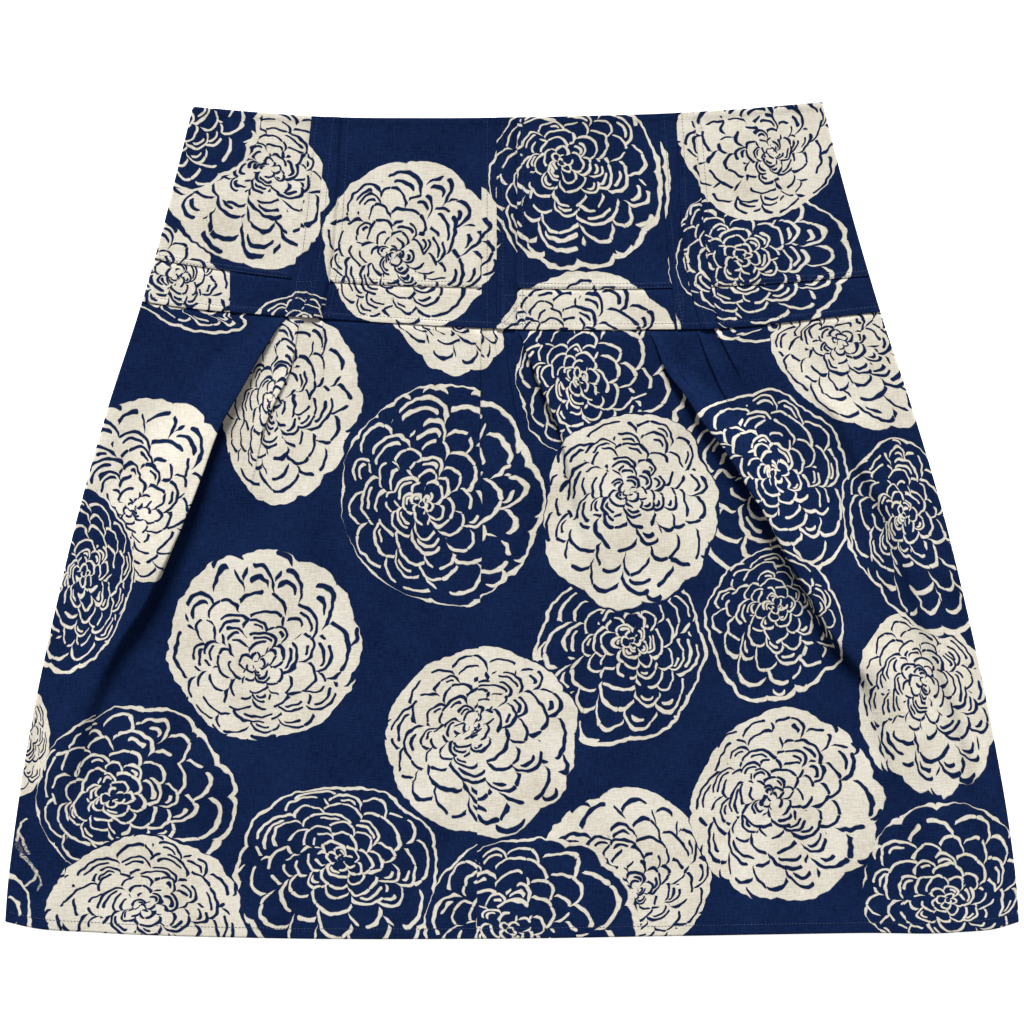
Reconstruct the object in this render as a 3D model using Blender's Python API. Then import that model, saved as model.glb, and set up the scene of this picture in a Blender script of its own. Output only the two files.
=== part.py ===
"""An a-line skirt laid flat, front side up, with the waist towards +Y and the hem towards -Y.

The front lies on the back: a fitted yoke of panels, bands and straps, and below it one wide panel
whose pleats open into soft lapped folds. The back is two halves with a zip in their centre seam.
Each piece is a cloth wall of its own, worked out from the cut lines and the folds in the tables below.
"""

import bmesh
import bpy
import numpy as np

MM = 0.001  # the tables and sizes are in millimetres

WALL = 1.2  # thickness of every cloth wall
SEAM_GAP = 0.32  # between two pieces that are sewn together, and between front and back
BACK_LEVEL = WALL / 2  # height of the middle of the back's wall
FRONT_LEVEL = WALL + SEAM_GAP + WALL / 2
BAND_LIFT = 0.3  # the yoke's lower bands lie a little proud of its upper panels
STRAP_LIFT = 0.3
TUCK_STEP = 0.8  # a strap's outer half lies over its inner half by a pressed tuck
TUCK_WIDTH = 0.8
BACK_INSET = 1.65  # the front turns down round the back's side edges
ZIP_WIDTH = 2.4
ZIP_END = 78.0  # where the zip stops in the centre back seam
LEAST_STATION = 0.7  # between two neighbouring points across the front

NAVY = (0.012, 0.030, 0.130, 1.0)
STRAP_NAVY = (0.010, 0.026, 0.118, 1.0)
ZIP_BLUE = (0.008, 0.014, 0.045, 1.0)

# The skirt's outline at heights y: the left and the right side.
SIDES = (
    # y, left x, right x
    (265, -204.5, 199.6),
    (228, -213.6, 209.1),
    (178, -226.2, 222.9),
    (132, -239.6, 236.6),
    (75, -258.1, 255.5),
    (7, -277.3, 275.7),
    (-60, -293.3, 292.1),
    (-142, -310.2, 309.3),
    (-200, -319.0, 319.2),
    (-235, -323.2, 323.4),
    (-257, -324.8, 324.8),
)

# The cut lines that run across: the waist, the top of the lower bands, the yoke seam and the hem.
WAIST = (
    # x, y
    (-204.5, 265.0),
    (-166, 261.6),
    (-127, 258.8),
    (-51, 257.7),
    (51, 259.2),
    (106, 261.0),
    (153, 264.0),
    (200, 268.0),
)
BAND_LINE = (
    # x, y
    (-232, 167.6),
    (-188, 160.6),
    (-142, 154.8),
    (-94, 151.3),
    (-20, 149.0),
    (89, 148.4),
    (159, 151.0),
    (228, 156.4),
)
YOKE_SEAM = (
    # x, y
    (-240, 140.5),
    (-205, 135.6),
    (-164, 132.0),
    (-103, 127.9),
    (-8, 122.6),
    (95, 122.2),
    (130, 122.6),
    (187, 128.0),
    (238, 133.7),
)
HEM = (
    # x, y
    (-324.8, -256.5),
    (-312, -259.6),
    (-264, -263.8),
    (-161, -267.2),
    (-8, -267.6),
    (114, -265.8),
    (224, -264.0),
    (283, -263.6),
    (312, -260.6),
    (324.8, -256.7),
)

# The straps, by their seam edge, pressed tuck and far edge at the waist, the band line and the seam.
STRAP_LEVELS = (258.0, 150.0, 128.0)
STRAPS = (
    # name, (seam edge x, tuck x, far edge x) at each level
    ("front_strap_left", (-128.5, -117.9, -108.3), (-141.7, -130.1, -117.3), (-146.8, -134.6, -121.8)),
    ("front_strap_centre", (-19.6, -9.6, 3.2), (-19.6, -9.6, 3.2), (-19.6, -9.6, 3.2)),
    ("front_strap_right", (93.6, 105.1, 116.7), (102.2, 114.1, 127.6), (105.1, 119.9, 131.4)),
)
BAND_JOIN = -180.8  # x of the upright join in the left band

# How the wall turns down at the skirt's side edges: distance in from the outline, and height.
SIDE_TURN = (
    # inset, height
    (WALL / 2, 0.0),
    (WALL / 2, 1.0),
    (0.85, FRONT_LEVEL - 0.3),
    (2.0, FRONT_LEVEL),
)

# Folds and pleats of the front skirt, from left to right, each a lapped edge that runs from the yoke
# seam to the hem. The cloth on the lapping side rises over a width "lap" to the edge, and falls to
# the base within a width "open". Where the rise is 0 the line only carries the wall's points.
LEFT_LAPS, RIGHT_LAPS = -1, 1
FOLDS = (
    (
        "left fold",
        LEFT_LAPS,
        (
            # y, edge x, rise, lap, open
            (129, -146.2, 0.8, 12, 3),
            (109, -159.0, 3.0, 25, 3.5),
            (86, -171.8, 5.0, 38, 4.5),
            (60, -186.5, 7.0, 50, 5.5),
            (27, -198.7, 9.5, 60, 7.5),
            (-2, -210.2, 11.0, 62, 8.5),
            (-31, -224.0, 11.0, 58, 9),
            (-56, -236.7, 9.5, 50, 10),
            (-79, -252.6, 8.0, 42, 12),
            (-121, -273.7, 5.5, 32, 15),
            (-179, -296.1, 3.0, 21, 18),
            (-259, -303.0, 1.2, 20, 18),
        ),
    ),
    (
        "left strap, long pleat",
        LEFT_LAPS,
        (
            (124, -137.2, 1.2, 6, 1.6),
            (99, -141.7, 1.8, 7, 1.8),
            (63, -157.7, 1.6, 9, 2.0),
            (29, -166.1, 0.6, 9, 2.0),
            (0, -172.0, 0, 9, 2.0),
            (-121, -222.0, 0, 9, 2.0),
            (-259, -244.0, 0, 9, 2.0),
        ),
    ),
    (
        "left strap, short pleat",
        LEFT_LAPS,
        (
            (128, -121.8, 1.2, 5, 1.5),
            (99, -121.1, 0.8, 5, 1.5),
            (84, -121.1, 0, 5, 1.5),
            (-31, -136.0, 0, 5, 1.5),
            (-259, -160.0, 0, 5, 1.5),
        ),
    ),
    (
        "centre tuck",
        LEFT_LAPS,
        (
            (122, -20.0, 1.4, 9, 1.5),
            (80, -20.5, 1.4, 11, 1.6),
            (47, -21.0, 1.2, 14, 1.8),
            (9, -19.5, 0.9, 16, 2.2),
            (-38, -21.5, 0, 16, 2.5),
            (-259, -24.0, 0, 16, 2.5),
        ),
    ),
    (
        "centre strap, left pleat",
        RIGHT_LAPS,
        (
            (121, -10.8, 0.9, 4, 1.5),
            (89, -9.0, 1.2, 4, 1.5),
            (68, -12.2, 0.8, 6, 1.5),
            (48, -12.5, 0, 6, 1.5),
            (-259, -10.0, 0, 6, 1.5),
        ),
    ),
    (
        "centre strap, right pleat",
        RIGHT_LAPS,
        (
            (121, -3.6, 1.0, 5, 1.5),
            (99, -2.0, 1.4, 5, 1.7),
            (76, 1.9, 0.9, 7, 1.7),
            (50, 7.0, 0, 7, 1.7),
            (-259, 22.0, 0, 7, 1.7),
        ),
    ),
    (
        "centre fold",
        RIGHT_LAPS,
        (
            (121, 5.0, 0.8, 10, 2.5),
            (100, 12.8, 3.0, 15, 3),
            (77, 22.4, 4.6, 20, 4),
            (61, 29.9, 4.6, 24, 4.5),
            (46, 34.2, 4.0, 28, 5),
            (28, 38.5, 3.0, 32, 6),
            (9, 44.6, 2.0, 34, 9),
            (-25, 56.4, 0.8, 36, 14),
            (-70, 70.0, 0, 36, 14),
            (-259, 105.0, 0, 36, 14),
        ),
    ),
    (
        "right fold",
        RIGHT_LAPS,
        (
            (122, 88.0, 0.5, 8, 3),
            (112, 92.3, 1.6, 10, 3),
            (94, 100.0, 3.6, 15, 3.5),
            (80, 110.9, 5.2, 24, 4.5),
            (64, 121.1, 7.0, 32, 5.5),
            (46, 135.3, 8.4, 40, 6.5),
            (22, 150.0, 9.4, 46, 7.5),
            (5, 160.9, 10.0, 50, 8),
            (-22, 175.6, 10.0, 52, 8.5),
            (-47, 190.4, 9.0, 52, 9.5),
            (-73, 205.8, 7.5, 50, 11),
            (-102, 229.5, 5.5, 44, 14),
            (-136, 244.2, 4.0, 38, 18),
            (-259, 264.0, 1.0, 34, 20),
        ),
    ),
    (
        "right strap, first pleat",
        RIGHT_LAPS,
        (
            (121, 106.8, 1.2, 5, 1.5),
            (93, 109.0, 0.8, 5, 1.5),
            (80, 118.5, 0, 5, 1.5),
            (46, 147.0, 0, 5, 1.5),
            (-47, 203.0, 0, 5, 1.5),
            (-259, 275.0, 0, 5, 1.5),
        ),
    ),
    (
        "right strap, second pleat",
        RIGHT_LAPS,
        (
            (122, 118.8, 1.2, 5, 1.5),
            (101, 126.5, 1.6, 6, 1.8),
            (81, 136.0, 0.9, 8, 1.8),
            (64, 147.0, 0, 8, 1.8),
            (22, 178.0, 0, 8, 1.8),
            (-47, 218.0, 0, 8, 1.8),
            (-259, 286.0, 0, 8, 1.8),
        ),
    ),
    (
        "right strap, third pleat",
        RIGHT_LAPS,
        (
            (122, 130.8, 1.2, 5, 1.5),
            (101, 141.7, 1.0, 7, 1.6),
            (84, 151.0, 0, 7, 1.6),
            (22, 196.0, 0, 7, 1.6),
            (-47, 233.0, 0, 7, 1.6),
            (-259, 297.0, 0, 7, 1.6),
        ),
    ),
    (
        "outer right fold",
        RIGHT_LAPS,
        (
            (127, 178.0, 0, 12, 5),
            (80, 197.4, 1.2, 16, 5),
            (69, 208.3, 2.6, 18, 5.5),
            (39, 223.1, 4.4, 22, 6),
            (0, 244.2, 5.0, 24, 7),
            (-34, 256.4, 4.6, 24, 8),
            (-68, 268.0, 4.2, 22, 9),
            (-115, 285.0, 3.6, 18, 10),
            (-160, 299.0, 2.8, 11, 11),
            (-211, 309.5, 1.6, 9, 12),
            (-259, 313.0, 0.8, 9, 12),
        ),
    ),
)
SHOULDER = 0.1  # of the lap, from a fold's edge to the next point on its lapping side
OPEN_STEPS = (0.35, 0.7, 1.0)  # of the open width, to the points on its other side
FILL = (3, 2, 1, 6, 0, 0, 0, 4, 0, 0, 0, 2, 2)  # points between two folds, from the left side on
ROWS_UP = 21  # rows of points between the hem and the yoke seam
ROW_CROWDING = 1.25  # over 1, the rows lie closer together towards the yoke seam


def curve(points):
    """The smooth line through points (position, value), going straight on past its ends."""
    at, value = np.array(sorted(points), float).T
    slope = np.gradient(value, at)

    def read(x):
        if x <= at[0] or x >= at[-1]:
            end = 0 if x <= at[0] else -1
            return float(value[end] + slope[end] * (x - at[end]))
        i = int(np.searchsorted(at, x, side="right")) - 1
        span = at[i + 1] - at[i]
        u = (x - at[i]) / span
        near = (1 + 2 * u) * (1 - u) ** 2 * value[i] + u * (1 - u) ** 2 * span * slope[i]
        far = u**2 * (3 - 2 * u) * value[i + 1] + u**2 * (u - 1) * span * slope[i + 1]
        return float(near + far)

    return read


def moved(line, distance):
    """The same line, moved by a distance."""
    return lambda x: line(x) + distance


side_left = curve([(y, left) for y, left, right in SIDES])
side_right = curve([(y, right) for y, left, right in SIDES])
waist, band_line, yoke_seam, hem = (curve(line) for line in (WAIST, BAND_LINE, YOKE_SEAM, HEM))
HALF_GAP = SEAM_GAP / 2


def strap_lines(strap):
    """A strap's seam edge, tuck and far edge, each a line that gives x at a height."""
    return [curve(zip(STRAP_LEVELS, across)) for across in zip(*strap[1:])]


def patch(left, right, bottom, top):
    """place(s, t), the point at s across and t up a panel between four lines."""

    def corner(side, line):
        x = side(0.0)
        for _ in range(12):
            x = side(line(x))
        return np.array((x, line(x)))

    low_left, low_right = corner(left, bottom), corner(right, bottom)
    top_left, top_right = corner(left, top), corner(right, top)

    def place(s, t):
        y_left = low_left[1] + (top_left[1] - low_left[1]) * t
        y_right = low_right[1] + (top_right[1] - low_right[1]) * t
        x_low = low_left[0] + (low_right[0] - low_left[0]) * s
        x_top = top_left[0] + (top_right[0] - top_left[0]) * s
        along = (1 - t) * np.array((x_low, bottom(x_low))) + t * np.array((x_top, top(x_top)))
        across = (1 - s) * np.array((left(y_left), y_left)) + s * np.array((right(y_right), y_right))
        low = (1 - s) * low_left + s * low_right
        high = (1 - s) * top_left + s * top_right
        return along + across - (1 - t) * low - t * high

    return place


def raised(place, stations, rows, level):
    """Rows of points of a panel, its height given by level(column)."""
    return [[(*place(s, t), level(i)) for i, s in enumerate(stations)] for t in rows]


def flat(height):
    """The same height in every column."""
    return lambda column: height


def cloth(name, rows, colour):
    """One cloth wall through rows of points, its thickness half above and half below them."""
    up, across = len(rows) - 1, len(rows[0]) - 1
    bm = bmesh.new()
    bmesh.ops.create_grid(bm, x_segments=across, y_segments=up, size=1.0)
    for vert in bm.verts:
        column = round((vert.co.x + 1) / 2 * across)
        row = round((vert.co.y + 1) / 2 * up)
        vert.co = [MM * value for value in rows[row][column]]
    mesh = bpy.data.meshes.new(name)
    bm.to_mesh(mesh)
    bm.free()
    mesh.shade_smooth()

    material = bpy.data.materials.new(name)
    material.use_nodes = True
    shader = material.node_tree.nodes["Principled BSDF"]
    shader.inputs["Base Color"].default_value = colour
    shader.inputs["Roughness"].default_value = 0.85
    shader.inputs["Metallic"].default_value = 0.0
    mesh.materials.append(material)

    piece = bpy.data.objects.new(name, mesh)
    bpy.context.collection.objects.link(piece)
    wall = piece.modifiers.new("Wall", "SOLIDIFY")
    wall.thickness = WALL * MM
    wall.offset = 0.0
    wall.use_even_offset = True
    wall.use_quality_normals = True
    piece.parent = skirt
    return piece


def side_stations(place, inner, turn_left, turn_right):
    """Stations and heights across a panel that may turn down at a side edge of the skirt."""
    width = place(1, 0.5)[0] - place(0, 0.5)[0]
    stations = list(inner)
    heights = [None] * len(stations)
    if turn_left:
        stations = [inset / width for inset, _ in SIDE_TURN] + stations[1:]
        heights = [height for _, height in SIDE_TURN] + heights[1:]
    if turn_right:
        stations = stations[:-1] + [1 - inset / width for inset, _ in reversed(SIDE_TURN)]
        heights = heights[:-1] + [height for _, height in reversed(SIDE_TURN)]
    return stations, heights


def yoke_piece(name, left, right, bottom, top, lift, across, up):
    """A flat piece of the front yoke; one at the skirt's side turns down there."""
    at_left, at_right = left is side_left, right is side_right
    left = left if at_left else moved(left, HALF_GAP)
    right = right if at_right else moved(right, -HALF_GAP)
    place = patch(left, right, moved(bottom, HALF_GAP), top)
    stations, heights = side_stations(place, np.linspace(0, 1, across + 1), at_left, at_right)

    def level(column):
        return FRONT_LEVEL + lift if heights[column] is None else heights[column]

    cloth(name, raised(place, stations, np.linspace(0, 1, up + 1), level), NAVY)


def front_strap(strap):
    """A strap from the waist to the yoke seam, its outer half over its inner half at the tuck."""
    edge, tuck, far = strap_lines(strap)
    place = patch(moved(edge, HALF_GAP), moved(far, -HALF_GAP), moved(yoke_seam, HALF_GAP), waist)
    middle = sum(STRAP_LEVELS[:2]) / 2
    width = far(middle) - edge(middle)
    fold = (tuck(middle) - edge(middle)) / width
    step = TUCK_WIDTH / width
    stations = (0, fold - step, fold, (1 + fold) / 2, 1)
    low, high = FRONT_LEVEL + STRAP_LIFT, FRONT_LEVEL + STRAP_LIFT + TUCK_STEP
    heights = (low, low, high, high, high)
    rows = raised(place, stations, np.linspace(0, 1, 9), lambda column: heights[column])
    cloth(strap[0], rows, STRAP_NAVY)


def fold_lines(fold):
    """A fold's edge, rise, lap and open widths, each a line over the height."""
    side, table = fold[1:]
    edge, rise, lap, opening = (curve([(row[0], row[k]) for row in table]) for k in (1, 2, 3, 4))
    return side, edge, lambda y: max(0.0, rise(y)), lap, opening


def fold_height(lines, x, y):
    """How far a fold lifts the cloth at a point."""
    side, edge, rise, lap, opening = lines
    past = (edge(y) - x) * side  # from the edge towards the open side
    if past > 0:
        reach = min(1.0, past / opening(y))
        return rise(y) * (1 + np.cos(np.pi * reach)) / 2
    reach = min(1.0, -past / lap(y))
    return rise(y) * (1 - reach) ** 2 * (1 + 2 * reach)


def fold_stations(lines, y):
    """The places across at which the wall has points because of a fold, from left to right."""
    side, edge, rise, lap, opening = lines
    places = [edge(y) + side * SHOULDER * lap(y), edge(y)]
    places += [edge(y) - side * step * opening(y) for step in OPEN_STEPS]
    return sorted(places)


def front_skirt():
    """The wide front panel: its columns follow the folds, and its sides turn down."""
    lines = [fold_lines(fold) for fold in FOLDS]
    place = patch(side_left, side_right, hem, moved(yoke_seam, -HALF_GAP))
    insets = [inset for inset, _ in SIDE_TURN]
    turn_heights = [height for _, height in SIDE_TURN]
    turns = len(SIDE_TURN)

    def across(t):
        """x of every column in the row at t."""
        start, end = place(0, t), place(1, t)
        anchors = [[start[0] + inset for inset in insets]]
        for line in lines:
            y = (start[1] + end[1]) / 2
            for _ in range(4):
                y = place((line[1](y) - start[0]) / (end[0] - start[0]), t)[1]
            anchors.append(fold_stations(line, y))
        anchors.append([end[0] - inset for inset in reversed(insets)])
        columns = list(anchors[0])
        for count, group in zip(FILL, anchors[1:]):
            begin, stop = columns[-1], max(group[0], columns[-1] + LEAST_STATION)
            columns += list(np.linspace(begin, stop, count + 2)[1:-1])
            columns += group
        for i in range(turns, len(columns)):
            columns[i] = max(columns[i], columns[i - 1] + LEAST_STATION * (i < len(columns) - turns))
        for i in range(len(columns) - turns - 1, turns, -1):
            columns[i] = min(columns[i], columns[i + 1] - LEAST_STATION)
        return start, end, columns

    rows = []
    for t in np.linspace(0, 1, ROWS_UP + 1):
        t = 1 - (1 - t) ** ROW_CROWDING
        start, end, columns = across(t)
        row = []
        for i, x in enumerate(columns):
            y = place((x - start[0]) / (end[0] - start[0]), t)[1]
            if i < turns - 1:
                height = turn_heights[i]
            elif i > len(columns) - turns:
                height = turn_heights[len(columns) - 1 - i]
            else:
                height = FRONT_LEVEL + sum(fold_height(line, x, y) for line in lines)
            row.append((x, y, height))
        rows.append(row)
    cloth("front_skirt", rows, NAVY)


def back_pieces():
    """The two halves of the back's yoke and of its skirt, flat, and the zip between them."""
    zip_side = ZIP_WIDTH / 2 + SEAM_GAP
    inner_edge = ((300, zip_side), (ZIP_END, zip_side), (ZIP_END - 2, HALF_GAP), (-300, HALF_GAP))
    heights, insets = np.array(sorted(inner_edge)).T

    def inner(y):
        return float(np.interp(y, heights, insets))

    seam_top, seam_low = moved(yoke_seam, HALF_GAP), moved(yoke_seam, -HALF_GAP)
    low = hem(0)
    high = yoke_seam(0) - HALF_GAP
    skirt_levels = [low, -200, -130, -60, 10, ZIP_END - 2, ZIP_END, high]
    skirt_rows = [(level - low) / (high - low) for level in skirt_levels]
    yoke_rows = np.linspace(0, 1, 5)
    for side, outline, sign in (("left", side_left, -1), ("right", side_right, 1)):
        outer = moved(outline, -sign * BACK_INSET)

        def centre(y, sign=sign):
            return sign * inner(y)

        left, right = (outer, centre) if sign < 0 else (centre, outer)
        stations = np.linspace(0, 1, 9)
        level = flat(BACK_LEVEL)
        yoke = raised(patch(left, right, seam_top, waist), stations, yoke_rows, level)
        cloth(f"back_yoke_{side}", yoke, NAVY)
        panel = raised(patch(left, right, hem, seam_low), stations, skirt_rows, level)
        cloth(f"back_skirt_{side}", panel, NAVY)

    edge = curve([(ZIP_END, ZIP_WIDTH / 2), (300, ZIP_WIDTH / 2)])
    tape = patch(lambda y: -edge(y), edge, lambda x: ZIP_END + SEAM_GAP, waist)
    cloth("back_zip", raised(tape, (0, 1), (0, 1), flat(BACK_LEVEL)), ZIP_BLUE)


def front_yoke():
    """The yoke's upper panels and lower bands, between the sides and the straps."""
    left, centre, right = (strap_lines(strap) for strap in STRAPS)
    spans = (
        # name, left line, right line, points across
        ("side_left", side_left, left[0], 6),
        ("centre_left", left[2], centre[0], 6),
        ("centre_right", centre[2], right[0], 6),
        ("side_right", right[2], side_right, 6),
    )
    upper = moved(band_line, HALF_GAP)
    lower = moved(band_line, -HALF_GAP)
    for name, first, last, count in spans:
        yoke_piece(f"front_yoke_{name}", first, last, upper, waist, 0.0, count, 6)
    join = curve([(130, BAND_JOIN), (170, BAND_JOIN)])
    bands = (
        ("outer_left", side_left, join, 4),
        ("inner_left", join, left[0], 3),
        *spans[1:],
    )
    for name, first, last, count in bands:
        yoke_piece(f"front_band_{name}", first, last, yoke_seam, lower, BAND_LIFT, count, 2)


for old in list(bpy.data.objects):
    bpy.data.objects.remove(old)
skirt = bpy.data.objects.new("a_line_skirt", None)
bpy.context.collection.objects.link(skirt)

back_pieces()
front_skirt()
front_yoke()
for each in STRAPS:
    front_strap(each)
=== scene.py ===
"""An a-line skirt laid flat, front up: printed cloth, folds, sewing and zip, under soft light.

The waist is towards +Y and the hem towards -Y. Sizes are in millimetres and are turned to metres
where a mesh is made. The sections follow the skirt as it is put together, from the floor up.
"""

import bmesh
import bpy
import numpy as np
from mathutils import Matrix, Vector
from mathutils.bvhtree import BVHTree


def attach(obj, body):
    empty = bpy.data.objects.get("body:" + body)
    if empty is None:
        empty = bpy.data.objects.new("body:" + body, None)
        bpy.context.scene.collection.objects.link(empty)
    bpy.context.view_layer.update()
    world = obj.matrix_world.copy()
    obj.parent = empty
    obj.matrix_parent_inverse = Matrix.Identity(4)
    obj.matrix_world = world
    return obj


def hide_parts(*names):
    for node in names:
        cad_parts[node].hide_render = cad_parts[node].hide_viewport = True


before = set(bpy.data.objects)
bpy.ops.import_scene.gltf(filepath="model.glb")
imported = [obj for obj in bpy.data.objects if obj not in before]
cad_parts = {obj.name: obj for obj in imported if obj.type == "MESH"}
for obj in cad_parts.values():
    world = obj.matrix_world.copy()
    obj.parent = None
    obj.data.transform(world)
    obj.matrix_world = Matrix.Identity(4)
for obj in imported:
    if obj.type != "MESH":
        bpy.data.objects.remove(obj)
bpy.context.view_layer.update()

# ----------------------------------------
# Back skirt: two halves of the printed cotton and linen cloth, sewn together down the centre
# back. They lie on the floor and carry all the rest, and their hem is turned up and stitched.

MM = 0.001
CLOTH = 0.5  # thickness of one layer
BACK_LEVEL = 0.36  # height of the middle of the back's cloth
SEAM_GAP = 0.32  # between the edges of two pieces at a seam
BACK_INSET = 1.65  # the front is turned down round the back's side edges
HEM_TURN = 7.0  # of cloth turned up inside at the hem
HEM_BEND = 0.72  # height of the turned hem's bend

SIDES = (
    # y, left x, right x
    (265, -204.5, 199.6),
    (228, -213.6, 209.1),
    (178, -226.2, 222.9),
    (132, -239.6, 236.6),
    (75, -258.1, 255.5),
    (7, -277.3, 275.7),
    (-60, -293.3, 292.1),
    (-142, -310.2, 309.3),
    (-200, -319.0, 319.2),
    (-235, -323.2, 323.4),
    (-257, -324.8, 324.8),
)
YOKE_SEAM = (
    # x, y
    (-240, 140.5),
    (-205, 135.6),
    (-164, 132.0),
    (-103, 127.9),
    (-8, 122.6),
    (95, 122.2),
    (130, 122.6),
    (187, 128.0),
    (238, 133.7),
)
HEM = (
    # x, y
    (-324.8, -256.5),
    (-312, -259.6),
    (-264, -263.8),
    (-161, -267.2),
    (-8, -267.6),
    (114, -265.8),
    (224, -264.0),
    (283, -263.6),
    (312, -260.6),
    (324.8, -256.7),
)


def curve(points):
    """The smooth line through points (position, value), straight past its ends."""
    at, value = np.array(sorted(points), float).T
    slope = np.gradient(value, at)

    def read(x):
        x = np.asarray(x, float)
        i = np.clip(np.searchsorted(at, x, side="right") - 1, 0, len(at) - 2)
        span = at[i + 1] - at[i]
        u = np.clip((x - at[i]) / span, 0, 1)
        near = (1 + 2 * u) * (1 - u) ** 2 * value[i] + u * (1 - u) ** 2 * span * slope[i]
        far = u**2 * (3 - 2 * u) * value[i + 1] + u**2 * (u - 1) * span * slope[i + 1]
        before = slope[0] * np.minimum(x - at[0], 0)
        after = slope[-1] * np.maximum(x - at[-1], 0)
        return near + far + before + after

    return read


def moved(line, distance):
    """The same line, moved by a distance."""
    return lambda x: line(x) + distance


def patch(left, right, bottom, top):
    """place(s, t): x and y at s across and t up a panel between four lines."""

    def corner(side, line):
        x = side(0.0)
        for _ in range(12):
            x = side(line(x))
        return float(x), float(line(x))

    low_left, low_right = corner(left, bottom), corner(right, bottom)
    top_left, top_right = corner(left, top), corner(right, top)

    def place(s, t):
        s, t = np.asarray(s, float), np.asarray(t, float)
        y_left = low_left[1] + (top_left[1] - low_left[1]) * t
        y_right = low_right[1] + (top_right[1] - low_right[1]) * t
        x_low = low_left[0] + (low_right[0] - low_left[0]) * s
        x_top = top_left[0] + (top_right[0] - top_left[0]) * s
        x = (1 - s) * left(y_left) + s * right(y_right)
        y = (1 - t) * bottom(x_low) + t * top(x_top)
        return x, y

    return place


def smooth(x):
    """0 below 0 and 1 above 1, with a soft change between."""
    x = np.clip(x, 0, 1)
    return x * x * (3 - 2 * x)


WAVES = (
    # length across, length up, phase, height: the slow unevenness of laid cloth
    (310, 420, 0.4, 0.20),
    (-150, 260, 2.1, 0.16),
    (96, -170, 4.0, 0.11),
    (-61, 88, 1.2, 0.07),
    (37, 52, 5.1, 0.045),
    (-24, 33, 3.3, 0.03),
    (18, -21, 0.9, 0.018),
)


def unevenness(x, y):
    """The slow waves in the height of a laid cloth."""
    return sum(h * np.sin(2 * np.pi * (x / a + y / b) + phase) for a, b, phase, h in WAVES)


def creases(x, y, table):
    """Heights of single creases: soft ridges, or troughs where the height is below 0."""
    total = np.zeros(np.broadcast(x, y).shape)
    for x0, y0, x1, y1, bow, wide, high in table:
        length = np.hypot(x1 - x0, y1 - y0)
        along = ((x - x0) * (x1 - x0) + (y - y0) * (y1 - y0)) / length**2
        off = ((x - x0) * (y1 - y0) - (y - y0) * (x1 - x0)) / length - bow * 4 * along * (1 - along)
        total += high * np.exp(-((off / wide) ** 2)) * smooth(along * 3) * smooth((1 - along) * 3)
    return total


def stacked(*grids):
    """Grids of coordinates as one grid of points."""
    return np.stack(np.broadcast_arrays(*grids), axis=-1)


def finished(name, bm, material):
    """The bmesh as an object with its material."""
    mesh = bpy.data.meshes.new(name)
    bm.to_mesh(mesh)
    bm.free()
    mesh.materials.append(material)
    piece = bpy.data.objects.new(name, mesh)
    bpy.context.collection.objects.link(piece)
    return piece


def cloth(name, points, cut, material, shifts=None):
    """A sheet through a grid of points. Its texture map is its flat cut, moved by each column's shift."""
    up, across = points.shape[0] - 1, points.shape[1] - 1
    shifts = np.zeros(across) if shifts is None else shifts
    bm = bmesh.new()
    bmesh.ops.create_grid(bm, x_segments=across, y_segments=up, size=1.0)
    cells = [(round((v.co.y + 1) / 2 * up), round((v.co.x + 1) / 2 * across)) for v in bm.verts]
    for vert, cell in zip(bm.verts, cells):
        vert.co = points[cell] * MM
    layer = bm.loops.layers.uv.new("Cloth")
    bm.verts.index_update()
    for face in bm.faces:
        face.smooth = True
        column = min(cells[vert.index][1] for vert in face.verts)
        for loop in face.loops:
            loop[layer].uv = (cut[cells[loop.vert.index]] + (shifts[column], 0)) * MM
    piece = finished(name, bm, material)
    wall = piece.modifiers.new("Thickness", "SOLIDIFY")
    wall.thickness = CLOTH * MM
    wall.offset = 0.0
    return piece


def flat_area(cut):
    """Area of the flat cut, in square metres."""
    a, b = cut[1:, 1:] - cut[:-1, :-1], cut[1:, :-1] - cut[:-1, 1:]
    return abs(float(np.sum(a[..., 0] * b[..., 1] - a[..., 1] * b[..., 0]) / 2)) * MM**2


def sewn_in(piece, node, cut):
    """Puts a cloth piece in its node's place; the size and area of its flat cut are worked out but not kept.
    """
    size = (cut.max(axis=(0, 1)) - cut.min(axis=(0, 1))) * MM
    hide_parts(node)
    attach(piece, "root")
    flat_area(cut)


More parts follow.
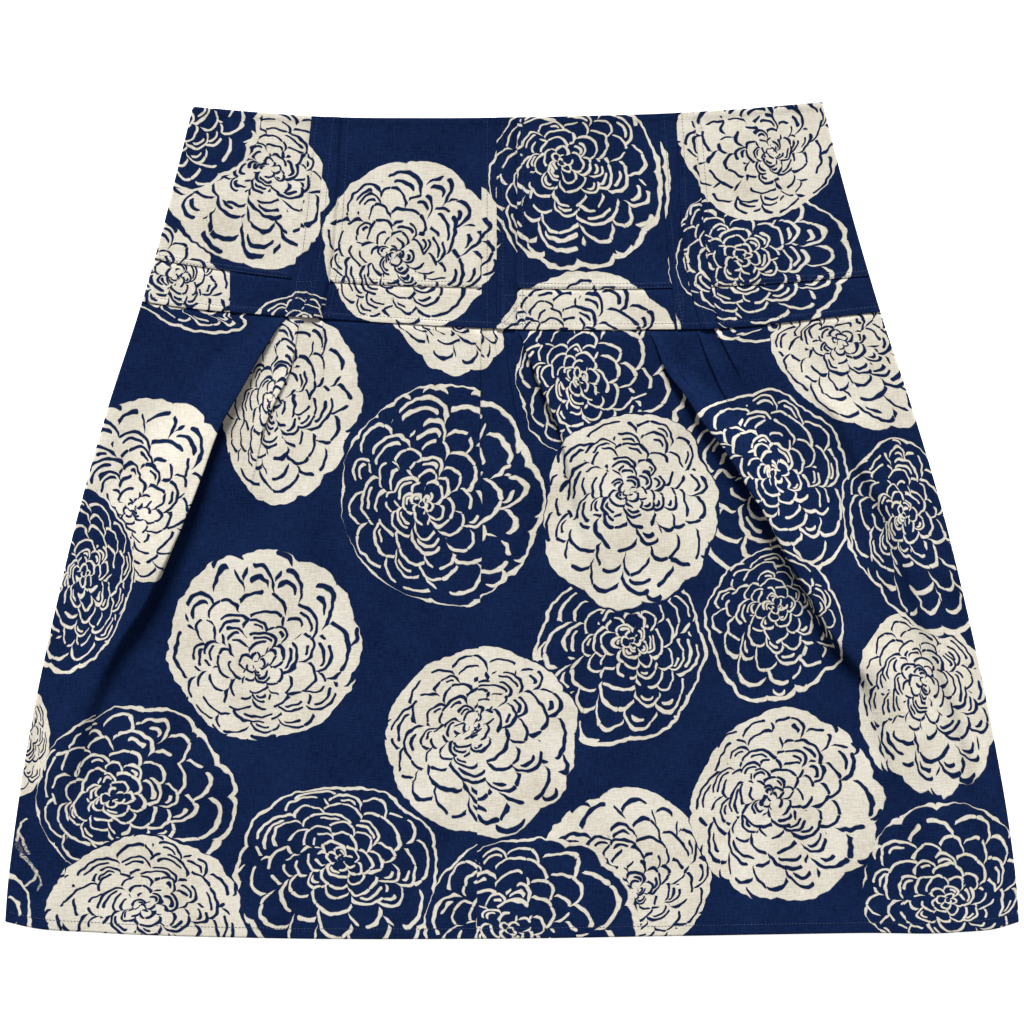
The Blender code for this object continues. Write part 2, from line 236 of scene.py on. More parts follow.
class Wire:
    """A shader socket that stands in Python expressions; each one adds its node."""

    def __init__(self, tree, socket=None):
        self.tree = tree
        self.socket = socket

    def node(self, kind, settings, sockets, out=0):
        """The output of a new node: its settings are made first, then its sockets are filled."""
        new = self.tree.nodes.new(kind)
        for key, value in settings.items():
            setattr(new, key, value)
        for key, value in sockets.items():
            if isinstance(value, Wire):
                self.tree.links.new(value.socket, new.inputs[key])
            else:
                new.inputs[key].default_value = value
        return Wire(self.tree, new.outputs[out])

    def math(self, operation, *values, clamp=False):
        settings = {"operation": operation, "use_clamp": clamp}
        return self.node("ShaderNodeMath", settings, dict(enumerate(values)))

    def __add__(self, other):
        return self.math("ADD", self, other)

    __radd__ = __add__

    def __sub__(self, other):
        return self.math("SUBTRACT", self, other)

    def __rsub__(self, other):
        return self.math("SUBTRACT", other, self)

    def __mul__(self, other):
        return self.math("MULTIPLY", self, other)

    __rmul__ = __mul__

    def __truediv__(self, other):
        return self.math("DIVIDE", self, other)

    def __rtruediv__(self, other):
        return self.math("DIVIDE", other, self)

    def __gt__(self, other):
        return self.math("GREATER_THAN", self, other)

    def __lt__(self, other):
        return self.math("LESS_THAN", self, other)

    def __abs__(self):
        return self.math("ABSOLUTE", self)

    def clamped(self):
        return self.math("ADD", self, 0.0, clamp=True)

    def vector(self, operation, *values):
        return self.node("ShaderNodeVectorMath", {"operation": operation}, dict(enumerate(values)))

    def split(self):
        """The three numbers of a vector or colour."""
        parts = self.tree.nodes.new("ShaderNodeSeparateXYZ")
        self.tree.links.new(self.socket, parts.inputs[0])
        return [Wire(self.tree, part) for part in parts.outputs]

    def blend(self, kind, a, b):
        """Mix of two vectors or colours, by this wire."""
        first = {"VECTOR": 4, "RGBA": 6}[kind]
        out = {"VECTOR": 1, "RGBA": 2}[kind]
        sockets = {0: self, first: a, first + 1: b}
        return self.node("ShaderNodeMix", {"data_type": kind}, sockets, out)

    def noise(self, stretch, detail=1.0, out="Fac"):
        """Noise over this vector, so many waves a metre across, up and through."""
        at = self.vector("MULTIPLY", self, stretch)
        return self.node("ShaderNodeTexNoise", {}, {"Vector": at, "Scale": 1.0, "Detail": detail}, out)

    def feed(self, shader, socket):
        self.tree.links.new(self.socket, shader.inputs[socket])


def new_material(name):
    """A new material, its shader and a wire that starts its patterns."""
    material = bpy.data.materials.new(name)
    material.use_nodes = True
    return material, material.node_tree.nodes["Principled BSDF"], Wire(material.node_tree)


def set_even(shader, values):
    """Fills the sockets that are the same all over a material."""
    for socket, value in values.items():
        shader.inputs[socket].default_value = value


NAVY = ((0.0020, 0.0074, 0.0325, 1.0), (0.0064, 0.0180, 0.0680, 1.0))  # dark and light yarn
CREAM = ((0.500, 0.448, 0.350, 1.0), (0.685, 0.655, 0.575, 1.0))
NAVY_SHADE = (0.5, 1.5, 1.0)  # the middle of its range, and how much yarns and clouds change it
CREAM_SHADE = (0.62, 1.3, 1.2)
YARN = (170, 1150)  # waves a metre, along a yarn and across it
CLOUDS = 30
RINGS = 8.4  # rings of petals that a bloom would have out to its full radius
HEART = 0.10  # over 0, the rings near the heart are less crowded
PETALS = (3, 1.3)  # in the first ring, and more in each one after it
RIM_PETALS = 11
PETAL_CURVE = (0.72, 0.46, 0.55)  # a petal's edge in rings: its top, its fall to both sides, its dive
PETAL_STEP = 0.34  # by which one petal stands out past another
PETAL_SWAY = 0.16  # unevenness of the petals' widths
DIVE_POWER = 6.0
HEART_SHIFT = 0.22  # of the bloom's heart away from its middle, along its own x
STROKE = 0.0180  # half the width of a cream line, in bloom radii
NAVY_STROKE = 1.16  # times as wide as a cream one
STROKE_SHARES = (0.86, 0.14)  # of the stroke's width at the heart, and gained towards the rim
GAP = 0.03  # half the least gap in a line
GAP_PLACE = (0.15, 0.8)  # along a petal: the first place of a gap, and how far on it may be
GAP_CHANCE = (0.35, 0.25)  # share of a cream bloom's petals with no gap, and how many more in a navy one
CLOSED_RINGS = 0.7  # next to the rim, where no line has a gap
ECHO_SPAN = (0.2, 0.5, 0.4)  # along a petal: an inner line's start, its least end, and how far on it may end
ECHO_CHANCE = (0.55, 0.15)  # share of a cream bloom's petals with no inner line, and more in a navy one
ECHO_STEP = 0.45  # from a petal's edge in to its inner line, in rings
EDGE_SOFTNESS = 0.006
RIM = 7.9  # ring at which the bloom's outline starts
RIM_CURVE = (0.44, 0.20, 0.04)
RIM_STROKE = 1.15  # times the width of a line
HEART_RING = 0.5  # inside this ring nothing is drawn
RING_TURN = 0.618  # of a petal, from one ring to the next
SEED_TURN = 0.27  # of a petal, from one kind of bloom to the next
RING_SWAY = 2.1  # of the sway's wave, from one ring to the next
SEED_SWAY = 1.3  # the same from one kind to the next
HAND_DRAWN = ((30, 0.010), (200, 0.0024))  # waves a metre, and by how much they move the drawing


def bloom_lines(at):
    """Rosette of petals in rings, drawn by rule: the cream share of the print at each point."""
    x, y, code = at.split()
    seed = abs(code) * 1000
    navy_ground = code < 0
    x = x - HEART_SHIFT * (1 - x * x - y * y)
    radius = at.math("SQRT", x * x + y * y)
    spread_out = np.sqrt(1 + HEART) - np.sqrt(HEART)
    root = at.math("SQRT", radius + HEART)
    ring = (root - np.sqrt(HEART)) * (RINGS / spread_out)
    ring_width = root * (2 * spread_out / RINGS)
    angle = at.math("ARCTAN2", y, x)
    least, more_out = STROKE_SHARES
    stroke = STROKE * (NAVY_STROKE - (NAVY_STROKE - 1) * navy_ground) * (least + more_out * radius)

    def petals(index, count, curve_terms):
        """Place along a petal, its number, its edge as a ring, and the width of a ring across it."""
        sway = at.math("SINE", angle * 2 + index * RING_SWAY + seed * SEED_SWAY) * PETAL_SWAY
        along = (angle + sway) * count / (2 * np.pi) + index * RING_TURN + seed * SEED_TURN
        petal = at.math("FLOOR", along)
        s = along - petal
        off = 2 * s - 1
        top, fall, dive = curve_terms
        dived = at.math("POWER", 1 - s, DIVE_POWER)
        edge = index + top - fall * off * off - dive * dived
        rise = dive * DIVE_POWER * dived - 4 * fall * off
        steep = rise * count * ring_width / (2 * np.pi * radius)
        thin = ring_width / at.math("SQRT", 1 + steep * steep)
        return s, at.math("FLOORED_MODULO", petal, count), edge, thin

    def round_end(distance):
        """Share of the stroke's width at a distance from its end."""
        near = (distance / stroke).clamped()
        return at.math("SQRT", near * (2 - near))

    def drawn(index):
        """Line cover and petal edge of one ring."""
        first, more = PETALS
        count = first + at.math("FLOOR", index * more)
        s, petal, edge, thin = petals(index, count, PETAL_CURVE)
        key = at.node("ShaderNodeCombineXYZ", {}, {0: petal, 1: index, 2: seed})
        chance = at.node("ShaderNodeTexWhiteNoise", {"noise_dimensions": "3D"}, {"Vector": key}, "Color")
        step, second, third = chance.split()
        length = 2 * np.pi * radius / count
        edge = edge + (step - 0.5) * PETAL_STEP
        start, reach = GAP_PLACE
        fewer, fewer_in_navy = GAP_CHANCE
        has_gap = third > fewer + fewer_in_navy * navy_ground
        from_gap = abs(s - start - reach * second) * length - GAP * has_gap - (index > RIM - CLOSED_RINGS)
        outer = stroke * round_end(from_gap) - abs(ring - edge) * thin
        start, end, reach = ECHO_SPAN
        fewer, fewer_in_navy = ECHO_CHANCE
        has_none = second < fewer + fewer_in_navy * navy_ground
        echo = at.math("MINIMUM", s - start, end + third * reach - s) * length - has_none
        inner = stroke * round_end(echo) - abs(ring - edge + ECHO_STEP) * thin
        return (at.math("MAXIMUM", outer, inner) / EDGE_SOFTNESS).clamped(), edge

    low = at.math("FLOOR", ring)
    line, edge = drawn(low)
    next_line = drawn(low + 1)[0]
    lines = at.math("MAXIMUM", line, next_line * (ring > edge)) * (ring > HEART_RING)
    rim, rim_thin = petals(RIM, RIM_PETALS, RIM_CURVE)[2:]
    inside = ((rim - ring) * rim_thin / EDGE_SOFTNESS).clamped()
    outline = ((STROKE * RIM_STROKE - abs(rim - ring) * rim_thin) / EDGE_SOFTNESS).clamped()
    filled = inside * (1 - lines)
    drawn_only = at.math("MAXIMUM", inside * lines, outline)
    return filled + navy_ground * (drawn_only - filled)


def worn_share(laid, streaks):
    """How far bare cloth shows in scratchy, hand-bent streaks, from places on the laid piece."""
    patchy = ((laid.noise((600, 1000, 0), 2.0) - 0.43) * 7).clamped()
    share = 0.0
    bent = laid.vector("SUBTRACT", laid.noise((140, 140, 0), 1.0, "Color"), (0.5, 0.5, 0.5))
    laid = laid.vector("MULTIPLY_ADD", bent, (0.004, 0.004, 0), laid)
    for x0, y0, x1, y1, wide, strong, scratchy in streaks:
        way = Vector((x1 - x0, y1 - y0, 0)) * MM
        off = laid.vector("SUBTRACT", laid, (x0 * MM, y0 * MM, 0))
        dot = off.node("ShaderNodeVectorMath", {"operation": "DOT_PRODUCT"}, {0: off, 1: way}, 1)
        along = (dot / way.length_squared).clamped()
        both = along.node("ShaderNodeCombineXYZ", {}, {0: along, 1: along})
        away = off.vector("MULTIPLY", off.vector("MULTIPLY_ADD", both, -way, off), (1, 1, 0))
        distance = away.node("ShaderNodeVectorMath", {"operation": "LENGTH"}, {0: away}, 1)
        body = ((1 - distance / (wide * MM)) * 2.5).clamped()
        cover = body * (strong * (1 - scratchy) + strong * scratchy * patchy)
        share = cover.math("MAXIMUM", share, cover)
    return share


def printed_cloth(name, blooms, worn=()):
    """Navy and cream cotton and linen cloth with large blooms, later ones over earlier ones.

    A bloom's turn is the way from its middle to its heart. It also makes it one of its kind: two with
    the same turn are the same drawing. Worn streaks are lines on the laid piece.
    """
    material, shader, start = new_material(name)
    flat = start.node("ShaderNodeUVMap", {"uv_map": "Cloth"}, {})
    drawn_at = flat
    for waves, reach in HAND_DRAWN:
        shift = flat.noise((waves, waves, 0), 0.0, "Color")
        shift = flat.vector("SUBTRACT", shift, (0.5, 0.5, 0.5))
        drawn_at = flat.vector("MULTIPLY_ADD", shift, (reach, reach, 0), drawn_at)
    at = (9.0, 9.0, 0.0)
    for u, v, across, up, turn, kind in blooms:
        code = (turn + 1) * (-0.001 if kind == "navy" else 0.001)
        sockets = {
            "Vector": drawn_at,
            "Location": (u * MM, v * MM, -code),
            "Rotation": (0, 0, np.radians(turn)),
            "Scale": (across * MM, up * MM, 1),
        }
        local = flat.node("ShaderNodeMapping", {"vector_type": "TEXTURE"}, sockets)
        reach = flat.node("ShaderNodeVectorMath", {"operation": "LENGTH"}, {0: local}, 1)
        at = (reach < 1.0).blend("VECTOR", at, local)
    cream_share = bloom_lines(at)
    if worn:
        laid = start.node("ShaderNodeTexCoord", {}, {}, 3)
        cream_share = laid.math("MAXIMUM", cream_share, worn_share(laid, worn))

    yarn = flat.noise((*YARN, 0), 2.0) + flat.noise((*YARN[::-1], 0), 2.0) - 1
    cloud = flat.noise((CLOUDS, CLOUDS, 0), 2.0) - 0.5
    shades = []
    for (middle, by_yarn, by_cloud), colours in ((NAVY_SHADE, NAVY), (CREAM_SHADE, CREAM)):
        shade = (middle + yarn * by_yarn + cloud * by_cloud).clamped()
        shades.append(shade.blend("RGBA", *colours))
    colour = cream_share.blend("RGBA", *shades)
    rough = 0.86 - yarn * 0.25
    height = yarn + flat.noise((420, 420, 0), 1.0) * 0.5
    bumped = start.node("ShaderNodeBump", {}, {"Height": height, "Strength": 0.35, "Distance": 0.0003})
    colour.feed(shader, "Base Color")
    rough.feed(shader, "Roughness")
    bumped.feed(shader, "Normal")
    set_even(shader, {"Specular IOR Level": 0.04})
    return material


side_left = curve([(y, left) for y, left, right in SIDES])
side_right = curve([(y, right) for y, left, right in SIDES])
yoke_seam, hem = curve(YOKE_SEAM), curve(HEM)
HALF_GAP = SEAM_GAP / 2
ZIP_WIDTH = 2.4
ZIP_END = 78.0  # where the zip stops in the centre back seam
ZIP_EDGE = (
    # y, distance from the centre line to each back half
    (-400, HALF_GAP),
    (ZIP_END - 3, HALF_GAP),
    (ZIP_END, ZIP_WIDTH / 2 + SEAM_GAP),
    (300, ZIP_WIDTH / 2 + SEAM_GAP),
)
zip_edge = curve(ZIP_EDGE)

BACK_BLOOMS = (
    # across, up, radius across, radius up, turn, kind
    (-190, 60, 60, 56, 20, "cream"),
    (-70, 20, 58, 62, 75, "navy"),
    (55, 95, 56, 54, 10, "cream"),
    (185, 40, 60, 62, 140, "navy"),
    (-245, -70, 58, 60, 200, "navy"),
    (-130, -115, 62, 58, 95, "cream"),
    (10, -80, 60, 60, 30, "cream"),
    (120, -50, 55, 58, 60, "cream"),
    (245, -90, 56, 60, 250, "cream"),
    (70, -190, 60, 58, 170, "navy"),
    (190, -200, 62, 60, 20, "cream"),
    (-60, -225, 60, 62, 50, "navy"),
    (-200, -220, 58, 60, 110, "cream"),
)


HEM_PROFILE = (
    # above the hem's edge, height over the panel: from the turned end round the bend to the panel
    (HEM_TURN, HEM_BEND),
    (HEM_TURN * 0.55, HEM_BEND),
    (1.0, HEM_BEND),
    (0.25, 0.6),
    (0.0, HEM_BEND / 2),
    (0.25, 0.12),
    (0.7, 0.0),
    (1.4, 0.0),
)
EVEN_FROM, EVEN_TO = 2.6, 5.0  # the even rows start so far above the hem and end so far below the top
TOP_STEPS = (3.6, 2.8, 2.2, 1.8, 1.4, 1.1, 0.8, 0.4, 0.0)  # rows of points below a top seam edge


def hem_rows(place, count):
    """Rows of a panel from its turned hem up: share of its length, and height of the turned cloth."""
    length = float(place(0.5, 1)[1] - place(0.5, 0)[1])
    rows = [row[0] for row in HEM_PROFILE] + list(np.linspace(EVEN_FROM, length - EVEN_TO, count))
    up = np.array(rows + [length - step for step in TOP_STEPS]) / length
    height = np.zeros(len(up))
    height[: len(HEM_PROFILE)] = [row[1] for row in HEM_PROFILE]
    return up[:, None], height[:, None]


def hem_cut(x, y, height):
    """Flat cut of a panel whose hem is turned up."""
    return stacked(x, np.where(height > HEM_BEND / 2, 2 * hem(x) - y, y))


BACK_LIFT = 0.28  # of the back's slow waves
BACK_CREASES = (
    # from x, y to x, y, bow, half width, height
    (-250, 60, -215, -70, 8, 6.0, 0.45),
    (-180, 120, -150, 20, -5, 4.5, 0.40),
    (-120, -40, -135, -190, 6, 8.0, 0.45),
    (-60, 110, -48, 10, 3, 4.0, 0.35),
    (-270, -120, -290, -230, -4, 6.0, 0.40),
    (-40, -130, -70, -255, 5, 7.0, 0.40),
    (45, 115, 60, 0, -4, 4.5, 0.40),
    (110, 60, 150, -80, 7, 7.0, 0.45),
    (60, -60, 50, -200, -5, 8.0, 0.35),
    (200, 110, 235, -30, 5, 5.0, 0.45),
    (180, -100, 215, -240, -6, 8.0, 0.45),
    (255, -60, 285, -180, 4, 5.5, 0.40),
    (-215, 240, -120, 228, 4, 5.0, 0.30),
    (-90, 170, -20, 182, -4, 5.0, 0.30),
    (30, 235, 110, 222, 5, 5.0, 0.30),
    (120, 165, 200, 180, -4, 5.0, 0.30),
)
back_print = printed_cloth("back_print", BACK_BLOOMS)


def back_patch(sign, bottom, top):
    """place(s, t) on the back's left half (-1) or right half (1)."""
    outer = moved(side_left if sign < 0 else side_right, -sign * BACK_INSET)
    lines = (outer, lambda y: sign * zip_edge(y))
    return patch(*lines[::-sign], bottom, top)


def back_lift(x, y, across, up):
    """Height of the back's slow waves, of these lengths, and of its creases."""
    return BACK_LIFT * (0.5 + 0.5 * np.sin(x / across + y / up)) + creases(x, y, BACK_CREASES)


for side, sign in (("left", -1), ("right", 1)):
    place = back_patch(sign, hem, moved(yoke_seam, -HALF_GAP))
    up, turned = hem_rows(place, 64)
    x, y = place(np.linspace(0, 1, 61)[None, :], up)
    lift = back_lift(x, y, 23, 41) * smooth((y - hem(x)) / 40)
    cut = hem_cut(x, y, turned)
    piece = cloth(f"back_skirt_{side}_cloth", stacked(x, y, BACK_LEVEL + lift + turned), cut, back_print)
    sewn_in(piece, f"back_skirt_{side}", cut)

# ----------------------------------------
# Back yoke: two flat halves of the same cloth above the back skirt, with their waist edge turned
# in. The zip between them closes the skirt.

WAIST = (
    # x, y
    (-204.5, 265.0),
    (-166, 261.6),
    (-127, 258.8),
    (-51, 257.7),
    (51, 259.2),
    (106, 261.0),
    (153, 264.0),
    (200, 268.0),
)
waist = curve(WAIST)
for side, sign in (("left", -1), ("right", 1)):
    place = back_patch(sign, moved(yoke_seam, HALF_GAP), waist)
    x, y = place(np.linspace(0, 1, 61)[None, :], np.linspace(0, 1, 50)[:, None])
    cut = stacked(x, y)
    points = stacked(x, y, BACK_LEVEL + back_lift(x, y, 31, -19))
    piece = cloth(f"back_yoke_{side}_cloth", points, cut, back_print)
    sewn_in(piece, f"back_yoke_{side}", cut)

# ----------------------------------------
# Zip: a short closed zip of woven blue tape in the centre back seam, with nylon teeth that lock
# along its middle. It faces the floor and is sewn to both back halves.

ZIP_PITCH = 1.5
ZIP_TOOTH = (1.5, 0.9, 0.5)
TOOTH_OFF = 0.35  # of a tooth's middle from the centre line
zip_tape, tape_shader, start = new_material("zip_tape")
ribs = start.node("ShaderNodeTexCoord", {}, {}, 3).noise((900, 2600, 900), 1.0)
ribs.blend("RGBA", (0.006, 0.011, 0.036, 1.0), (0.012, 0.021, 0.062, 1.0)).feed(tape_shader, "Base Color")
tape_bump = ribs.node("ShaderNodeBump", {}, {"Height": ribs, "Strength": 0.4, "Distance": 0.0002})
tape_bump.feed(tape_shader, "Normal")
set_even(tape_shader, {"Roughness": 0.8})

bm = bmesh.new()
zip_top = float(waist(0.0)) - 0.4
zip_length = zip_top - ZIP_END - SEAM_GAP
tape = bmesh.ops.create_cube(bm, size=1.0)["verts"]
bmesh.ops.scale(bm, vec=Vector((ZIP_WIDTH, zip_length, 0.35)) * MM, verts=tape)
bmesh.ops.translate(bm, vec=Vector((0, zip_top - zip_length / 2, 0.75)) * MM, verts=tape)
tape_edges = list({edge for vert in tape for edge in vert.link_edges})
bmesh.ops.bevel(bm, geom=tape_edges, offset=0.1 * MM, affect="EDGES", segments=2, profile=0.5, material=-1)
for number in range(int(zip_length / ZIP_PITCH)):
    side = 1 if number % 2 else -1
    tooth = bmesh.ops.create_uvsphere(bm, u_segments=6, v_segments=4, radius=0.5)["verts"]
    bmesh.ops.scale(bm, vec=Vector(ZIP_TOOTH) * MM, verts=tooth)
    spot = Vector((side * TOOTH_OFF, ZIP_END + (number + 1) * ZIP_PITCH, 0.33)) * MM
    bmesh.ops.translate(bm, vec=spot, verts=tooth)
for face in bm.faces:
    face.smooth = True
back_zip = finished("back_zip_teeth", bm, zip_tape)
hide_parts("back_zip")
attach(back_zip, "root")

# ----------------------------------------
# Front skirt: one wide panel of the printed cloth. It is pleated into the yoke under the three
# straps, and the pleats open into lapped folds that run to the turned hem.

FRONT_LEVEL = 2.1  # height of the middle of the front's cloth
LEFT_LAPS, RIGHT_LAPS = -1, 1
# Each fold's edge from the yoke seam down: y, edge x, rise, lap, open, tuck. "tuck" is how much of
# the fold's depth is pressed back under its edge.
LEFT_FOLD = (
    (129, -146.2, 0.8, 12, 3, 1.0),
    (109, -159.0, 3.0, 25, 3.5, 1.0),
    (86, -171.8, 5.0, 38, 4.5, 1.0),
    (60, -186.5, 7.0, 50, 5.5, 1.0),
    (27, -198.7, 9.5, 60, 7.5, 1.0),
    (-2, -210.2, 11.0, 62, 8.5, 0.8),
    (-31, -224.0, 11.0, 58, 9, 0.5),
    (-56, -236.7, 9.5, 50, 10, 0.25),
    (-79, -252.6, 8.0, 42, 12, 0.1),
    (-121, -273.7, 5.5, 32, 15, 0.0),
    (-179, -292.0, 3.0, 24, 18, 0.0),
    (-259, -298.0, 1.2, 20, 18, 0.0),
)
LEFT_LONG_PLEAT = (
    (124, -137.2, 1.2, 6, 1.6, 0.6),
    (99, -141.7, 1.8, 7, 1.8, 0.6),
    (63, -157.7, 1.6, 9, 2.0, 0.4),
    (29, -166.1, 0.6, 9, 2.0, 0.0),
)
LEFT_SHORT_PLEAT = (
    (128, -121.8, 1.2, 5, 1.5, 0.6),
    (99, -121.1, 0.8, 5, 1.5, 0.4),
)
CENTRE_TUCK = (
    (122, -20.0, 1.2, 9, 1.5, 1.0),
    (80, -20.5, 1.2, 11, 1.6, 1.0),
    (47, -21.0, 1.0, 14, 1.8, 1.0),
    (9, -19.5, 0.7, 16, 2.2, 0.8),
    (-38, -21.5, 0, 16, 2.5, 0.0),
)
CENTRE_LEFT_PLEAT = (
    (121, -10.8, 0.9, 4, 1.5, 0.5),
    (89, -9.0, 1.2, 4, 1.5, 0.5),
    (68, -12.2, 0.8, 6, 1.5, 0.0),
)
CENTRE_RIGHT_PLEAT = (
    (121, -3.6, 1.0, 5, 1.5, 0.5),
    (99, -2.0, 1.4, 5, 1.7, 0.5),
    (76, 1.9, 0.9, 7, 1.7, 0.0),
)
CENTRE_FOLD = (
    (121, 5.0, 0.8, 10, 2.5, 0.6),
    (100, 12.8, 3.0, 15, 3, 0.7),
    (77, 22.4, 4.6, 20, 4, 0.6),
    (61, 29.9, 4.6, 24, 4.5, 0.4),
    (46, 34.2, 4.0, 28, 5, 0.2),
    (28, 38.5, 3.0, 32, 6, 0.0),
    (9, 44.6, 2.0, 34, 9, 0.0),
    (-25, 56.4, 0.8, 36, 14, 0.0),
)
RIGHT_FOLD = (
    (122, 88.0, 0.5, 8, 3, 1.0),
    (112, 92.3, 1.6, 10, 3, 1.0),
    (94, 100.0, 3.6, 15, 3.5, 1.0),
    (80, 110.9, 5.2, 24, 4.5, 1.0),
    (64, 121.1, 7.0, 32, 5.5, 1.0),
    (46, 135.3, 8.4, 40, 6.5, 1.0),
    (22, 150.0, 9.4, 46, 7.5, 1.0),
    (5, 160.9, 10.0, 50, 8, 0.9),
    (-22, 175.6, 10.0, 52, 8.5, 0.6),
    (-47, 190.4, 9.0, 52, 9.5, 0.3),
    (-73, 205.8, 7.5, 50, 11, 0.1),
    (-102, 229.5, 5.5, 44, 14, 0.0),
    (-136, 244.2, 4.0, 38, 18, 0.0),
    (-259, 264.0, 1.0, 34, 20, 0.0),
)
RIGHT_FIRST_PLEAT = (
    (121, 106.8, 1.2, 5, 1.5, 0.5),
    (93, 109.0, 0.8, 5, 1.5, 0.0),
)
RIGHT_SECOND_PLEAT = (
    (122, 118.8, 1.2, 5, 1.5, 0.5),
    (101, 126.5, 1.6, 6, 1.8, 0.5),
    (81, 136.0, 0.9, 8, 1.8, 0.0),
)
RIGHT_THIRD_PLEAT = (
    (122, 130.8, 1.2, 5, 1.5, 0.5),
    (101, 141.7, 1.0, 7, 1.6, 0.3),
)
OUTER_RIGHT_FOLD = (
    (127, 178.0, 0, 14, 7, 0.0),
    (80, 197.4, 0.8, 18, 9, 0.0),
    (69, 208.3, 1.8, 20, 10, 0.0),
    (39, 223.1, 3.0, 24, 11, 0.1),
    (0, 244.2, 3.4, 26, 12, 0.1),
    (-34, 256.4, 3.2, 26, 12, 0.0),
    (-68, 268.0, 3.0, 24, 12, 0.0),
    (-115, 285.0, 2.8, 20, 12, 0.0),
    (-160, 299.0, 2.2, 11, 12, 0.0),
    (-211, 306.0, 1.4, 9, 12, 0.0),
    (-259, 309.0, 0.8, 9, 12, 0.0),
)
FOLDS = (
    # the side that laps over, the fold, and the line that its points follow from its end to the hem
    (LEFT_LAPS, LEFT_FOLD, ()),
    (LEFT_LAPS, LEFT_LONG_PLEAT, ((0, -172.0), (-121, -222.0), (-259, -244.0))),
    (LEFT_LAPS, LEFT_SHORT_PLEAT, ((84, -121.1), (-31, -136.0), (-259, -160.0))),
    (LEFT_LAPS, CENTRE_TUCK, ((-259, -24.0),)),
    (RIGHT_LAPS, CENTRE_LEFT_PLEAT, ((48, -12.5), (-259, -10.0))),
    (RIGHT_LAPS, CENTRE_RIGHT_PLEAT, ((50, 7.0), (-259, 22.0))),
    (RIGHT_LAPS, CENTRE_FOLD, ((-70, 70.0), (-259, 105.0))),
    (RIGHT_LAPS, RIGHT_FOLD, ()),
    (RIGHT_LAPS, RIGHT_FIRST_PLEAT,
     ((80, 120.5), (46, 150.0), (-47, 208.0), (-73, 217.0), (-102, 240.0), (-136, 254.0), (-259, 276.0))),
    (RIGHT_LAPS, RIGHT_SECOND_PLEAT,
     ((64, 147.0), (22, 178.0), (-47, 220.0), (-73, 230.0), (-102, 250.0), (-136, 263.0), (-259, 284.0))),
    (RIGHT_LAPS, RIGHT_THIRD_PLEAT,
     ((84, 151.0), (22, 196.0), (-47, 233.0), (-73, 244.0), (-102, 260.0), (-136, 272.0), (-259, 292.0))),
    (RIGHT_LAPS, OUTER_RIGHT_FOLD, ()),
)
UNDERLAP = 0.9  # of a piece that passes under the next one at a seam
UNDER_DIP = 0.3
DIP_EASE = 3
FOLD_EASE = (1.5, 12)  # from a side edge: where folds start to rise, and over what width
WAVE_EASE = 14  # the same for the cloth's waves and creases
SKIRT_ROWS = 164
SKIRT_CREASES = (
    # from x, y to x, y, bow, half width, height
    (-59, -25, -62, -100, 2, 3.5, -0.4),
    (-66, -48, -68, -95, -1, 2.5, 0.25),
    (-224, -51, -238, -92, 2, 2.6, -0.8),
    (287, -93, 302, -174, -3, 4.0, -0.7),
    (223, -94, 249, -149, -3, 7.0, -0.9),
    (-232, 122, -196, 60, 6, 6.0, -0.5),
    (-118, 118, -112, 66, 2, 3.0, -0.4),
    (-95, 120, -84, 70, -2, 4.5, 0.35),
    (60, 112, 66, 60, 2, 4.0, -0.3),
    (146, 118, 168, 78, -2, 3.0, -0.45),
    (160, 120, 192, 74, -3, 4.5, 0.4),
    (14, 118, 22, 84, 1, 2.2, -0.4),
    (128, 78, 152, 40, -2, 3.0, -0.5),
    (140, -4, 168, -52, -3, 5.0, 0.4),
    (-120, -10, -128, -120, 6, 9.0, -0.35),
    (20, -60, 34, -170, -5, 10.0, 0.35),
    (120, -120, 150, -230, 6, 10.0, -0.4),
    (-40, -190, -52, -258, 3, 6.0, -0.5),
    (-150, -180, -163, -262, 4, 7.0, 0.5),
    (60, -200, 63, -262, -3, 5.0, -0.5),
    (196, -205, 212, -262, 4, 6.0, 0.5),
    (-230, -205, -238, -262, 3, 5.0, -0.5),
    (-300, -130, -312, -200, 2, 4.0, 0.3),
)
FILL = (14, 3, 3, 22, 1, 1, 2, 24, 4, 2, 2, 12, 4)  # columns of points between the folds
LAP_STEPS = (0.34, 0.18, 0.07)  # points on the lap, as shares of its reach from the edge
LAP_REACH = 14
ZONE_STEP = 5  # of the bend, the point from which the cloth shows the next zone of the print
TUCKED_IN = 0.7  # share of the open width that a full tuck closes
NOSE = (0.45, 0.3, 0.22)  # bulge of an open bend in open widths, and of a tucked one: least, for each rise
HEEL = (0.5, 1.2, 0.55)  # the same for where the bend turns back
BEND_STEPS = (0.0, 0.1, 0.2, 0.32, 0.45, 0.6, 0.78, 1.0)  # points from a fold's edge to its foot
SIDE_TURN = (
    # inset from the outline, height: the front's cloth round the skirt's side edge
    (0.55, CLOTH / 2),
    (0.30, 0.75),
    (0.28, 1.25),
    (0.55, 1.75),
    (1.20, FRONT_LEVEL - 0.03),
    (2.4, FRONT_LEVEL),
)


def fold_lines(fold):
    """A fold's side, edge, rise, lap, open width and tuck, each a line over the height."""
    side, table, onward = fold
    table += tuple((y, x, 0, *table[-1][3:5], 0) for y, x in onward)
    edge, height, lap, opening, depth = (curve([(row[0], row[k]) for row in table]) for k in range(1, 6))

    def rise(y):
        return np.maximum(0, height(y)) * smooth((yoke_seam(edge(y)) - y) / 6)

    def tuck(y):
        return np.clip(depth(y), 0, 1) * smooth(rise(y) / 0.9 - 0.2)

    return side, edge, rise, lap, opening, tuck


